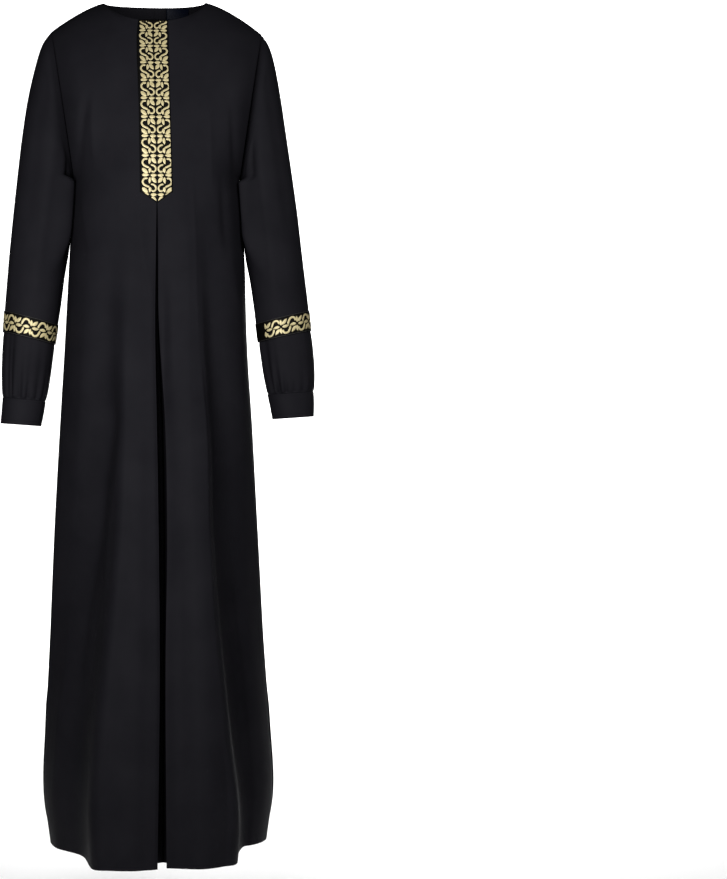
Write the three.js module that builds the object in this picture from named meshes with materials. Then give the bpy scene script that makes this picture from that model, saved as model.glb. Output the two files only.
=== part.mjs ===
// A long black abaya, hollow as worn: two fronts, two backs, set-in sleeves with gathered
// lower parts and cuffs, woven gold trim down the front and round the sleeves, and a neck label.
// Millimetres, +Z up. The front faces -Y, the wearer's left is +X, and the origin lies at the
// neck's centre, level with the points where the shoulder seams meet the neckline.
import * as THREE from 'three';

// Cloth
const WALL = 1.5;
const CUFF_WALL = 2.2;
const TRIM_WALL = 1.0;
const LABEL_WALL = 1.0;
const HALF_SEAM = 0.2;
const LAID_ON = 0.5;

// Neck and shoulders
const NECK_HALF_WIDTH = 85;
const NECK_CENTRE_X = -3.3;
const NECK_FRONT = { drop: 42, depth: 78, roundness: 0.6 };
const NECK_BACK = { drop: -6.5, depth: 70, roundness: 0.6 };
const SHOULDER_DROP = 50;
const SHOULDER_CURVE = 1.35;
const SHOULDER_FULLNESS = 1.7;

// Armhole, a leaning oval
const ARMHOLE = {
  top: { x: 179, z: -50 },
  underarm: { x: 141, z: -297 },
  middleY: 4,
  halfDepth: 55,
  frontHollow: 2,
  backHollow: 9,
};
const ARMHOLE_STEPS = 8;
const ARMHOLE_HOLD = { above: 3, atUnderarm: 12, lateness: 6 };

// Heights
const UNDERARM_Z = ARMHOLE.underarm.z;
const TRIM_CORNER_Z = -331;
const FRONT_PLEAT_TOP_Z = -349;
const BACK_PLEAT_TOP_Z = -465;
const HEM_Z = -1433;
const SKIRT_ROWS = [TRIM_CORNER_Z, FRONT_PLEAT_TOP_Z, -400, BACK_PLEAT_TOP_Z, -540, -625, -715, -800,
  -885, -970, -1055, -1140, -1225, -1300, -1370, HEM_Z];

// Skirt sections: half widths to the wearer's right and left, and the depth of front, back and side seam
const SECTIONS = [
  { z: -297, right: 141, left: 141, front: -125, back: 108, side: 5 },
  { z: -435, right: 148, left: 149, front: -129, back: 106, side: 6 },
  { z: -571, right: 155, left: 152, front: -134, back: 114, side: 9 },
  { z: -715, right: 164, left: 162, front: -143, back: 129, side: 15 },
  { z: -885, right: 174, left: 172, front: -158, back: 152, side: 26 },
  { z: -1055, right: 182, left: 182, front: -177, back: 180, side: 42 },
  { z: -1225, right: 190, left: 194, front: -196, back: 208, side: 62 },
  { z: -1360, right: 193, left: 200, front: -208, back: 228, side: 80 },
  { z: -1433, right: 183, left: 191, front: -213, back: 236, side: 90 },
];
const SECTION_ROUNDNESS = 2.4;

// Folds: each row is a line of cloth from the underarm level, at a share of the way from the centre
// to the side seam, down to the place where it meets the hem
const FRONT_RIGHT_FOLDS = [
  { at: 0.0, hemX: 1.6, hemY: -211 },
  { at: 0.095, hemX: -18, hemY: -216 },
  { at: 0.185, hemX: -42, hemY: -221 },
  { at: 0.26, hemX: -74, hemY: -213 },
  { at: 0.333, hemX: -99, hemY: -195 },
  { at: 0.38, hemX: -107, hemY: -141 },
  { at: 0.43, hemX: -119, hemY: -85 },
  { at: 0.5, hemX: -148, hemY: -38 },
  { at: 0.6, hemX: -167, hemY: -5 },
  { at: 0.7, hemX: -175, hemY: 20 },
  { at: 0.8, hemX: -180, hemY: 45 },
  { at: 0.9, hemX: -183, hemY: 68 },
  { at: 1.0, hemX: -183, hemY: 90 },
];
const FRONT_LEFT_FOLDS = [
  { at: 0.0, hemX: 19.4, hemY: -205 },
  { at: 0.095, hemX: 36, hemY: -206 },
  { at: 0.185, hemX: 52, hemY: -211 },
  { at: 0.28, hemX: 72, hemY: -213 },
  { at: 0.36, hemX: 88, hemY: -206 },
  { at: 0.42, hemX: 105, hemY: -190 },
  { at: 0.476, hemX: 124, hemY: -166 },
  { at: 0.52, hemX: 129, hemY: -90 },
  { at: 0.58, hemX: 143, hemY: -22 },
  { at: 0.66, hemX: 163, hemY: 2 },
  { at: 0.77, hemX: 178, hemY: 26 },
  { at: 0.88, hemX: 188, hemY: 58 },
  { at: 1.0, hemX: 191, hemY: 90 },
];
const BACK_RIGHT_FOLDS = [
  { at: 0.0, hemX: -77, hemY: 213 },
  { at: 0.12, hemX: -91, hemY: 226 },
  { at: 0.25, hemX: -106, hemY: 231 },
  { at: 0.38, hemX: -123, hemY: 233 },
  { at: 0.5, hemX: -138, hemY: 231 },
  { at: 0.6, hemX: -153, hemY: 222 },
  { at: 0.7, hemX: -168, hemY: 206 },
  { at: 0.8, hemX: -178, hemY: 182 },
  { at: 0.9, hemX: -184, hemY: 140 },
  { at: 1.0, hemX: -183, hemY: 90 },
];
const BACK_LEFT_FOLDS = [
  { at: 0.0, hemX: 30, hemY: 240 },
  { at: 0.14, hemX: 52, hemY: 241 },
  { at: 0.27, hemX: 76, hemY: 235 },
  { at: 0.4, hemX: 98, hemY: 224 },
  { at: 0.5, hemX: 116, hemY: 212 },
  { at: 0.6, hemX: 133, hemY: 196 },
  { at: 0.7, hemX: 149, hemY: 178 },
  { at: 0.8, hemX: 166, hemY: 157 },
  { at: 0.9, hemX: 182, hemY: 124 },
  { at: 1.0, hemX: 191, hemY: 90 },
];
const NECK_COLUMN = { front: 8, back: 5 };
const TRIM_COLUMNS = 2;
const TRIM_TOP_HALF_WIDTH = 23.5;
const SPREAD = { fromZ: -750, toZ: -1370 };
const DEEPEN = { fromZ: -430, toZ: HEM_Z };

// Inverted pleats: x of the folded edges to the wearer's right and left, and the depth of the middle behind them
const FRONT_PLEAT = [
  { z: FRONT_PLEAT_TOP_Z, right: -0.6, left: 0.6, middleY: -119 },
  { z: -440, right: -2, left: 4, middleY: -120 },
  { z: -555, right: -3, left: 8, middleY: -121 },
  { z: -715, right: 0, left: 18, middleY: -125 },
  { z: -890, right: 3, left: 21, middleY: -136 },
  { z: -1100, right: 5, left: 18, middleY: -156 },
  { z: HEM_Z, right: 1.6, left: 19.4, middleY: -184 },
];
const BACK_PLEAT = [
  { z: BACK_PLEAT_TOP_Z, right: -5.6, left: -4.4, middleY: 99 },
  { z: -570, right: -12, left: -5, middleY: 90 },
  { z: -666, right: -19, left: -5, middleY: 79 },
  { z: -760, right: -28, left: -4, middleY: 70 },
  { z: -885, right: -37, left: 0, middleY: 61 },
  { z: -1020, right: -45, left: 10, middleY: 54 },
  { z: -1140, right: -54, left: 17, middleY: 50 },
  { z: -1230, right: -64, left: 21, middleY: 47 },
  { z: -1360, right: -74, left: 27, middleY: 42 },
  { z: HEM_Z, right: -77, left: 30, middleY: 39 },
];

// How a pleat's cloth turns in under its folded edge, where it is tight above and open at the hem. deep and
// shallow are depths as shares of the whole; the front turns by a width, the back by a share of the way across.
const FRONT_TURN = { tight: 4, open: 12, deep: 0.68, shallow: 0.3, shallowTurn: 0.45 };
const BACK_TURN = {
  right: { middleAt: 0.75, tight: -0.6, open: 0.62, deep: 0.8, shallow: 0.28, shallowTurn: 0.42 },
  left: { middleAt: 0.75, tight: -0.6, open: -0.05, deep: 0.95, shallow: 0.5, shallowTurn: 0.42 },
};

// Sleeve rings by the outer and inner points of each, with half the ring's depth and its middle
const RIGHT_SLEEVE = {
  rings: [
    { outerX: 193, outerZ: -71, innerX: 142.5, innerZ: -302, halfDepth: 60, middleY: 3 },
    { outerX: 204, outerZ: -104, innerX: 142, innerZ: -312, halfDepth: 62, middleY: 3 },
    { outerX: 217.5, outerZ: -163, innerX: 142, innerZ: -332, halfDepth: 61, middleY: 2 },
    { outerX: 227, outerZ: -225, innerX: 143, innerZ: -360, halfDepth: 59, middleY: 1 },
    { outerX: 234.5, outerZ: -290, innerX: 146, innerZ: -394, halfDepth: 56, middleY: -1 },
    { outerX: 241.5, outerZ: -357, innerX: 151.5, innerZ: -434, halfDepth: 53, middleY: -4 },
    { outerX: 248, outerZ: -425, innerX: 156.5, innerZ: -474, halfDepth: 50, middleY: -7 },
    { outerX: 252.5, outerZ: -480, innerX: 161.5, innerZ: -514, halfDepth: 47, middleY: -9 },
  ],
  bandTop: { outerX: 255.5, outerZ: -520, innerX: 166, innerZ: -544, halfDepth: 45, middleY: -11 },
  bandBottom: { outerX: 257.5, outerZ: -557, innerX: 171.2, innerZ: -578, halfDepth: 43, middleY: -13 },
  lower: [
    { outerX: 258.5, outerZ: -590, innerX: 176, innerZ: -606, halfDepth: 42, middleY: -14, gather: 1.2 },
    { outerX: 259, outerZ: -625, innerX: 180.5, innerZ: -637, halfDepth: 40, middleY: -16, gather: 1.9 },
    { outerX: 259, outerZ: -652, innerX: 184, innerZ: -661, halfDepth: 38, middleY: -17, gather: 2.1 },
  ],
  cuffTop: { outerX: 259, outerZ: -669, innerX: 186.5, innerZ: -676, halfDepth: 36, middleY: -18 },
  cuffBottom: { outerX: 262.5, outerZ: -713, innerX: 194, innerZ: -718, halfDepth: 34, middleY: -20 },
};
const LEFT_SLEEVE = {
  rings: [
    { outerX: 191.5, outerZ: -71, innerX: 142.5, innerZ: -302, halfDepth: 60, middleY: 3 },
    { outerX: 201, outerZ: -104, innerX: 142, innerZ: -312, halfDepth: 62, middleY: 3 },
    { outerX: 211.5, outerZ: -163, innerX: 142, innerZ: -332, halfDepth: 61, middleY: 2 },
    { outerX: 220.5, outerZ: -225, innerX: 143, innerZ: -360, halfDepth: 59, middleY: 1 },
    { outerX: 229.5, outerZ: -290, innerX: 146, innerZ: -394, halfDepth: 56, middleY: -1 },
    { outerX: 238.5, outerZ: -357, innerX: 151.5, innerZ: -434, halfDepth: 53, middleY: -4 },
    { outerX: 246, outerZ: -425, innerX: 158, innerZ: -474, halfDepth: 50, middleY: -7 },
    { outerX: 252.5, outerZ: -480, innerX: 163.5, innerZ: -512, halfDepth: 47, middleY: -9 },
  ],
  bandTop: { outerX: 257.5, outerZ: -518, innerX: 167, innerZ: -541, halfDepth: 45, middleY: -11 },
  bandBottom: { outerX: 261, outerZ: -553, innerX: 171.2, innerZ: -573, halfDepth: 43, middleY: -13 },
  lower: [
    { outerX: 264, outerZ: -586, innerX: 175.5, innerZ: -600, halfDepth: 42, middleY: -14, gather: 1.2 },
    { outerX: 266, outerZ: -619, innerX: 180, innerZ: -628, halfDepth: 40, middleY: -16, gather: 1.9 },
    { outerX: 266.5, outerZ: -643, innerX: 184, innerZ: -650, halfDepth: 38, middleY: -17, gather: 2.1 },
  ],
  cuffTop: { outerX: 266, outerZ: -659, innerX: 186.5, innerZ: -664, halfDepth: 36, middleY: -18 },
  cuffBottom: { outerX: 266, outerZ: -701, innerX: 195, innerZ: -706, halfDepth: 34, middleY: -20 },
};
const SLEEVES = { right: RIGHT_SLEEVE, left: LEFT_SLEEVE };
const SLEEVE_OFF_BODY = 0.8;
const GATHERS = 11;
const GATHER_SET_IN = 1.3;
const GATHER_UNEVEN = 0.3;
const GATHER_COLUMNS = 44;
const GATHER_AT_BAND = 0.7;
const GATHER_AT_CUFF = 1.6;
const CUFF_COLUMNS = 20;

// Label inside the back neck, beside the centre
const LABEL = { firstColumn: 1, lastColumn: 3, shareOfLast: 0.6 };

const crepe = new THREE.MeshStandardMaterial({ color: 0x17161a, roughness: 0.85, metalness: 0 });
const goldWeave = new THREE.MeshStandardMaterial({ color: 0xd8c887, roughness: 0.5, metalness: 0.2 });
const navyLabel = new THREE.MeshStandardMaterial({ color: 0x14203c, roughness: 0.7, metalness: 0 });

// Small helpers
const lerp = THREE.MathUtils.lerp;
const point = (x, y, z) => new THREE.Vector3(x, y, z);
const between = (a, b, share) => a.clone().lerp(b, share);
const sideName = (side) => (side > 0 ? 'left' : 'right');

function rise(z, range) {
  const share = THREE.MathUtils.clamp((range.fromZ - z) / (range.fromZ - range.toZ), 0, 1);
  return share * share * (3 - 2 * share);
}

// A table's row at height z, each column eased between the rows above and below
function tableAt(table, z) {
  const last = table.length - 1;
  let k = 0;
  while (k < last - 1 && z < table[k + 1].z) k += 1;
  const share = THREE.MathUtils.clamp((table[k].z - z) / (table[k].z - table[k + 1].z), 0, 1);
  const before = table[Math.max(k - 1, 0)];
  const after = table[Math.min(k + 2, last)];
  const row = {};
  for (const name of Object.keys(table[0])) {
    const a = table[k][name];
    const b = table[k + 1][name];
    const slopeA = ((b - before[name]) / (table[k + 1].z - before.z)) * (table[k + 1].z - table[k].z);
    const slopeB = ((after[name] - a) / (after.z - table[k].z)) * (table[k + 1].z - table[k].z);
    const s2 = share * share;
    const s3 = s2 * share;
    row[name] = (2 * s3 - 3 * s2 + 1) * a + (s3 - 2 * s2 + share) * slopeA
      + (3 * s2 - 2 * s3) * b + (s3 - s2) * slopeB;
  }
  return row;
}

// A grid of points as triangles. Points used twice are one corner, and a missing point leaves a hole.
function triangulate(grid) {
  const corners = [...new Set(grid.flat().filter(Boolean))];
  const number = new Map(corners.map((corner, k) => [corner, k]));
  const triangles = [];
  for (let i = 0; i + 1 < grid.length; i += 1) {
    for (let j = 0; j + 1 < grid[i].length; j += 1) {
      const cell = [grid[i][j], grid[i + 1][j], grid[i + 1][j + 1], grid[i][j + 1]];
      if (cell.every(Boolean)) {
        const [a, b, c, d] = cell.map((corner) => number.get(corner));
        if (a !== b) triangles.push([a, b, c]);
        if (c !== d) triangles.push([a, c, d]);
      }
    }
  }
  return { corners, triangles };
}

function cornerNormals({ corners, triangles }, outward) {
  const sums = corners.map(() => point(0, 0, 0));
  for (const [a, b, c] of triangles) {
    const u = corners[b].clone().sub(corners[a]);
    const v = corners[c].clone().sub(corners[a]);
    const normal = u.cross(v).normalize().multiplyScalar(outward);
    sums[a].add(normal);
    sums[b].add(normal);
    sums[c].add(normal);
  }
  return sums.map((sum) => sum.normalize());
}

// A closed cloth wall on a grid of outer points. At a seam the wall leans no further than square to it.
function clothWall(grid, { outward, wall = WALL, seams = [], lift = 0 }) {
  const skin = triangulate(grid);
  const normals = cornerNormals(skin, outward);
  for (const seam of seams) {
    for (const corner of seam.points) {
      const normal = normals[skin.corners.indexOf(corner)];
      const across = -normal.dot(seam.away);
      if (across > 0) normal.addScaledVector(seam.away, across).normalize();
    }
  }
  const outer = skin.corners.map((corner, k) => corner.clone().addScaledVector(normals[k], lift));
  const inner = outer.map((corner, k) => corner.clone().addScaledVector(normals[k], -wall));
  const count = outer.length;
  const triangles = [];
  const edges = new Set();
  for (const [a, b, c] of skin.triangles) {
    triangles.push([a, b, c], [a + count, c + count, b + count]);
    edges.add(`${a} ${b}`).add(`${b} ${c}`).add(`${c} ${a}`);
  }
  for (const edge of edges) {
    const [a, b] = edge.split(' ').map(Number);
    if (!edges.has(`${b} ${a}`)) triangles.push([b, a, a + count], [b, a + count, b + count]);
  }
  return solid([...outer, ...inner], triangles, outward);
}

function solid(corners, triangles, outward) {
  const geometry = new THREE.BufferGeometry();
  const positions = corners.flatMap((corner) => [corner.x, corner.y, corner.z]);
  const faces = outward > 0 ? triangles : triangles.map(([a, b, c]) => [a, c, b]);
  geometry.setAttribute('position', new THREE.Float32BufferAttribute(positions, 3));
  geometry.setIndex(faces.flat());
  geometry.computeVertexNormals();
  return geometry;
}

function piece(name, geometry, material) {
  const mesh = new THREE.Mesh(geometry, material);
  mesh.name = name;
  return mesh;
}

// The neckline, at a share of the way from its middle to the shoulder seam
function neckEdge(share, side, neck) {
  const inside = 1 - share * share;
  return {
    x: NECK_CENTRE_X + side * NECK_HALF_WIDTH * share,
    y: neck.depth * Math.sqrt(inside),
    z: -neck.drop * inside ** neck.roundness,
  };
}

// The shoulder seam, at a share of the way from the neckline to the armhole
function shoulderEdge(share, side) {
  return {
    x: lerp(NECK_CENTRE_X + side * NECK_HALF_WIDTH, side * ARMHOLE.top.x, share),
    y: -ARMHOLE.middleY * share,
    z: -SHOULDER_DROP * share ** SHOULDER_CURVE,
  };
}

// The armhole oval, from its top round the front (face -1) or the back (face 1) to the underarm
function armholePoint(step, face, side) {
  const angle = (Math.PI * step) / ARMHOLE_STEPS;
  const { top, underarm } = ARMHOLE;
  const hollow = face < 0 ? ARMHOLE.frontHollow : ARMHOLE.backHollow;
  const share = (1 - Math.cos(angle)) / 2;
  const x = lerp(top.x, underarm.x, share) - hollow * Math.sin(angle);
  const y = ARMHOLE.middleY + face * ARMHOLE.halfDepth * Math.sin(angle);
  return point(side * x, y, lerp(top.z, underarm.z, share));
}

// The direction in which the sleeve leaves the armhole
function armholeAxis(side) {
  const { top, underarm } = ARMHOLE;
  return point(side * (top.z - underarm.z), 0, underarm.x - top.x).normalize();
}

const FACES = {
  front: { face: -1, depth: 'front', neck: NECK_FRONT, pleat: FRONT_PLEAT, pleatTop: FRONT_PLEAT_TOP_Z },
  back: { face: 1, depth: 'back', neck: NECK_BACK, pleat: BACK_PLEAT, pleatTop: BACK_PLEAT_TOP_Z },
};
const FOLDS = {
  front: { right: FRONT_RIGHT_FOLDS, left: FRONT_LEFT_FOLDS },
  back: { right: BACK_RIGHT_FOLDS, left: BACK_LEFT_FOLDS },
};

// x of a panel's centre edge: the centre line above the pleat, and the pleat's folded edge below it
function centreEdge(panel, side, z) {
  const { pleat, pleatTop } = FACES[panel];
  if (z <= pleatTop) return tableAt(pleat, z)[sideName(side)];
  const top = (pleat[0].left + pleat[0].right) / 2;
  return lerp(NECK_CENTRE_X, top, THREE.MathUtils.clamp(z / pleatTop, 0, 1));
}

// A point of the skirt, where a fold's line crosses the height z
function skirtPoint(panel, side, fold, z) {
  const base = (height) => {
    const section = tableAt(SECTIONS, height);
    const edge = side * section[sideName(side)];
    const x = lerp(centreEdge(panel, side, height), edge, fold.at);
    const reach = Math.min(Math.abs(x / edge), 1);
    const bow = (1 - reach ** SECTION_ROUNDNESS) ** (1 / SECTION_ROUNDNESS);
    return { x, y: lerp(section.side, section[FACES[panel].depth], bow) };
  };
  const here = base(z);
  const hem = base(HEM_Z);
  const x = here.x + (fold.hemX - hem.x) * rise(z, SPREAD);
  const y = here.y + (fold.hemY - hem.y) * rise(z, DEEPEN);
  return point(x, y, z);
}

// The panel's top point of a column: on the neckline, with the trim's own width, or on the shoulder seam
function topPoint(panel, side, column) {
  const { neck } = FACES[panel];
  const folds = FOLDS[panel][sideName(side)];
  const neckAt = folds[NECK_COLUMN[panel]].at;
  const { at } = folds[column];
  if (column > NECK_COLUMN[panel]) return shoulderEdge((at - neckAt) / (1 - neckAt), side);
  const underTrim = panel === 'front' && column <= TRIM_COLUMNS;
  const share = underTrim ? (TRIM_TOP_HALF_WIDTH * column) / (TRIM_COLUMNS * NECK_HALF_WIDTH) : at / neckAt;
  return neckEdge(share, side, neck);
}

// How far the cloth has come forward at a share of the way down, more at once over the shoulder
const forward = (down, fullness) => (1 - (1 - down) ** 2) ** (1 / fullness);

// A point above the underarm level, eased between the skirt's top row, the neck and shoulder, and the armhole
function bodicePoint(panel, side, column, step) {
  const { face } = FACES[panel];
  const folds = FOLDS[panel][sideName(side)];
  const fold = folds[column];
  const top = topPoint(panel, side, column);
  const bottom = skirtPoint(panel, side, fold, UNDERARM_Z);
  const down = (1 - Math.cos((Math.PI * step) / ARMHOLE_STEPS)) / 2;
  const overShoulder = Math.min(fold.at / folds[NECK_COLUMN[panel]].at, 1);
  const moved = forward(down, lerp(1, SHOULDER_FULLNESS, overShoulder ** 2));
  const here = point(lerp(top.x, bottom.x, down), lerp(face * top.y, bottom.y, moved), lerp(top.z, UNDERARM_Z, down));
  const shoulderTip = topPoint(panel, side, folds.length - 1);
  const underarm = skirtPoint(panel, side, folds[folds.length - 1], UNDERARM_Z);
  const straight = point(
    lerp(shoulderTip.x, underarm.x, down),
    lerp(face * shoulderTip.y, underarm.y, forward(down, SHOULDER_FULLNESS)),
    lerp(shoulderTip.z, UNDERARM_Z, down),
  );
  const hold = lerp(ARMHOLE_HOLD.above, ARMHOLE_HOLD.atUnderarm, down ** ARMHOLE_HOLD.lateness);
  return here.addScaledVector(armholePoint(step, face, side).sub(straight), fold.at ** hold);
}

// The pleat's points level with its folded edge, from the seam hidden at its middle to the edge
function pleatPoints(panel, side, edge) {
  const { pleat } = FACES[panel];
  const { right, left, middleY } = tableAt(pleat, edge.z);
  const opened = rise(edge.z, { fromZ: pleat[0].z, toZ: HEM_Z });
  const inward = (x, share) => point(x, lerp(edge.y, middleY, share), edge.z);
  if (panel === 'front') {
    const { tight, open, deep, shallow, shallowTurn } = FRONT_TURN;
    const under = side * lerp(tight, open, opened);
    return [inward((left + right) / 2, 1), inward(edge.x + under, deep), inward(edge.x + shallowTurn * under, shallow)];
  }
  const { middleAt, tight, open, deep, shallow, shallowTurn } = BACK_TURN[sideName(side)];
  const middle = lerp(right, left, middleAt);
  const turn = lerp(tight, open, opened);
  return [inward(middle, 1), inward(lerp(edge.x, middle, turn), deep),
    inward(lerp(edge.x, middle, shallowTurn * turn), shallow)];
}

// A panel's grid of points, from the neck and shoulder down to the hem
function panelGrid(panel, side) {
  const folds = FOLDS[panel][sideName(side)];
  const { pleatTop } = FACES[panel];
  const rows = [];
  for (let step = 0; step <= ARMHOLE_STEPS; step += 1) {
    rows.push(folds.map((fold, column) => bodicePoint(panel, side, column, step)));
  }
  for (const z of SKIRT_ROWS) rows.push(folds.map((fold) => skirtPoint(panel, side, fold, z)));
  return rows.map((row) => {
    const pleated = row[0].z <= pleatTop + 0.01;
    return [...(pleated ? pleatPoints(panel, side, row[0]) : [null, null, null]), ...row];
  });
}

const PLEAT_COLUMNS = 3;

// Opens a panel's seams by half a seam's gap, and lists them for the wall
function openSeams(grid, panel, side) {
  const { face, pleatTop } = FACES[panel];
  const last = grid[0].length - 1;
  const shoulder = grid[0].slice(PLEAT_COLUMNS + NECK_COLUMN[panel]);
  const armhole = grid.slice(0, ARMHOLE_STEPS + 1).map((row) => row[last]);
  const sideSeam = grid.slice(ARMHOLE_STEPS).map((row) => row[last]);
  const centre = grid.map((row) => (row[0] === null ? row[PLEAT_COLUMNS] : row[0]));
  const topOfPleat = grid.find((row) => row[0] !== null && row[0].z >= pleatTop - 0.01);
  const opened = [
    { points: centre, away: point(-side, 0, 0) },
    { points: sideSeam, away: point(0, -face, 0) },
    { points: shoulder, away: point(0, -face, 0) },
    { points: armhole, away: armholeAxis(side) },
  ];
  for (const seam of opened) {
    for (const corner of seam.points) corner.addScaledVector(seam.away, -HALF_SEAM);
  }
  return [...opened, { points: topOfPleat.slice(0, PLEAT_COLUMNS), away: point(0, 0, 1) }];
}

// A ring round a sleeve, from its outer and inner points
function ringPoints(ring, side, columns, ripple = () => 0) {
  const points = [];
  for (let k = 0; k < columns; k += 1) {
    const angle = (2 * Math.PI * k) / columns;
    const share = (1 - Math.cos(angle)) / 2;
    const width = Math.hypot(ring.outerX - ring.innerX, ring.outerZ - ring.innerZ) / 2;
    const swollen = share - (ripple(angle) / width) * Math.cos(angle) * 0.5;
    const x = lerp(ring.outerX, ring.innerX, swollen);
    const z = lerp(ring.outerZ, ring.innerZ, swollen);
    const y = ring.middleY - (ring.halfDepth + ripple(angle)) * Math.sin(angle);
    points.push(point(side * x, y, z));
  }
  return [...points, points[0]];
}

function ringAxis(ring, side) {
  return point(side * (ring.outerZ - ring.innerZ), 0, ring.innerX - ring.outerX).normalize();
}

function armholeRing(side) {
  const front = [];
  const back = [];
  for (let step = 0; step <= ARMHOLE_STEPS; step += 1) front.push(armholePoint(step, -1, side));
  for (let step = ARMHOLE_STEPS - 1; step > 0; step -= 1) back.push(armholePoint(step, 1, side));
  return [...front, ...back, front[0]];
}

function moved(ring, direction, distance) {
  const copies = ring.slice(0, -1).map((corner) => corner.clone().addScaledVector(direction, distance));
  return [...copies, copies[0]];
}

// The sleeve's inner side lies flat beside the body, a little off it
function besideBody(ring, side) {
  for (const corner of ring.slice(1)) {
    if (corner.z < UNDERARM_Z) {
      const limit = tableAt(SECTIONS, corner.z)[sideName(side)] + SLEEVE_OFF_BODY;
      corner.x = side * Math.max(side * corner.x, limit);
    }
  }
  return ring;
}

function sleeve(side) {
  const { rings, bandTop, bandBottom } = SLEEVES[sideName(side)];
  const columns = 2 * ARMHOLE_STEPS;
  const first = moved(armholeRing(side), armholeAxis(side), HALF_SEAM);
  const middle = [...rings, bandTop].map((ring) => besideBody(ringPoints(ring, side, columns), side));
  const axis = ringAxis(bandBottom, side);
  const last = moved(ringPoints(bandBottom, side, columns), axis, -HALF_SEAM);
  const seams = [
    { points: first.slice(1), away: armholeAxis(side).negate() },
    { points: last.slice(1), away: axis },
  ];
  return clothWall([first, ...middle, last], { outward: -side, seams });
}

function sleeveBand(side) {
  const { bandTop, bandBottom } = SLEEVES[sideName(side)];
  const columns = 2 * ARMHOLE_STEPS;
  const top = ringPoints(bandTop, side, columns);
  const bottom = moved(ringPoints(bandBottom, side, columns), ringAxis(bandBottom, side), -2 * HALF_SEAM);
  return clothWall([top, bottom], { outward: -side, wall: TRIM_WALL, lift: LAID_ON + TRIM_WALL });
}

function lowerSleeve(side) {
  const { bandBottom, lower, cuffTop } = SLEEVES[sideName(side)];
  const wave = (angle) => Math.cos(GATHERS * angle) - GATHER_SET_IN + GATHER_UNEVEN * Math.cos(3 * angle + side);
  const gathered = (ring, depth) => ringPoints(ring, side, GATHER_COLUMNS, (angle) => depth * wave(angle));
  const top = moved(gathered(bandBottom, GATHER_AT_BAND), ringAxis(bandBottom, side), HALF_SEAM);
  const middle = lower.map((ring) => gathered(ring, ring.gather));
  const bottom = moved(gathered(cuffTop, GATHER_AT_CUFF), ringAxis(cuffTop, side), -HALF_SEAM);
  const seams = [
    { points: top.slice(1), away: ringAxis(bandBottom, side).negate() },
    { points: bottom.slice(1), away: ringAxis(cuffTop, side) },
  ];
  return clothWall([top, ...middle, bottom], { outward: -side, seams });
}

function cuff(side) {
  const { cuffTop, cuffBottom } = SLEEVES[sideName(side)];
  const top = moved(ringPoints(cuffTop, side, CUFF_COLUMNS), ringAxis(cuffTop, side), HALF_SEAM);
  const bottom = ringPoints(cuffBottom, side, CUFF_COLUMNS);
  const seams = [{ points: top.slice(1), away: ringAxis(cuffTop, side).negate() }];
  return clothWall([top, bottom], { outward: -side, wall: CUFF_WALL, seams });
}

// The front trim, made from the two front panels' points beside the centre, with a pointed end
function frontTrim(rightGrid, leftGrid) {
  const cornerRow = rightGrid.findIndex((row) => row[PLEAT_COLUMNS].z <= TRIM_CORNER_Z + 0.01);
  const columns = [];
  for (let j = TRIM_COLUMNS; j > 0; j -= 1) columns.push({ grid: rightGrid, j, out: j / TRIM_COLUMNS });
  columns.push({ grid: null, j: 0, out: 0 });
  for (let j = 1; j <= TRIM_COLUMNS; j += 1) columns.push({ grid: leftGrid, j, out: j / TRIM_COLUMNS });
  const at = (row, column) => {
    if (column.grid) return column.grid[row][PLEAT_COLUMNS + column.j].clone();
    return between(rightGrid[row][PLEAT_COLUMNS], leftGrid[row][PLEAT_COLUMNS], 0.5);
  };
  const rows = [];
  for (let row = 0; row <= cornerRow; row += 1) rows.push(columns.map((column) => at(row, column)));
  rows.push(columns.map((column, k) => (column.out === 1
    ? rows[cornerRow][k]
    : between(at(cornerRow, column), at(cornerRow + 1, column), 1 - column.out))));
  return clothWall(rows, { outward: 1, wall: TRIM_WALL, lift: LAID_ON + TRIM_WALL });
}

// The label lies inside the back neck, made from the left back's points beside the centre
function neckLabel(backGrid) {
  const rows = backGrid.slice(0, 2).map((row) => {
    const columns = row.slice(PLEAT_COLUMNS + LABEL.firstColumn, PLEAT_COLUMNS + LABEL.lastColumn + 1);
    const end = columns.pop();
    return [...columns, between(columns[columns.length - 1], end, LABEL.shareOfLast)];
  });
  return clothWall(rows, { outward: -1, wall: LABEL_WALL, lift: -(WALL + LAID_ON) });
}

function buildAbaya() {
  const abaya = new THREE.Group();
  const grids = { front: {}, back: {} };
  for (const side of [-1, 1]) {
    for (const panel of ['front', 'back']) {
      const grid = panelGrid(panel, side);
      const seams = openSeams(grid, panel, side);
      const outward = -FACES[panel].face * side;
      abaya.add(piece(`${panel}_${sideName(side)}`, clothWall(grid, { outward, seams }), crepe));
      grids[panel][side] = grid;
    }
    abaya.add(piece(`sleeve_${sideName(side)}`, sleeve(side), crepe));
    abaya.add(piece(`sleeve_band_${sideName(side)}`, sleeveBand(side), goldWeave));
    abaya.add(piece(`lower_sleeve_${sideName(side)}`, lowerSleeve(side), crepe));
    abaya.add(piece(`cuff_${sideName(side)}`, cuff(side), crepe));
  }
  abaya.add(piece('front_trim', frontTrim(grids.front[-1], grids.front[1]), goldWeave));
  abaya.add(piece('neck_label', neckLabel(grids.back[1]), navyLabel));
  return abaya;
}

export default buildAbaya();
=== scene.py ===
# The looks of the abaya: thin cloth shells on the solids' own form, with their folds, seams and
# gathers, the woven gold trim, and the studio. Metres, +Z up, front towards -Y.
import math

import bpy
import numpy as np
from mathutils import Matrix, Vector
from mathutils.bvhtree import BVHTree


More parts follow.
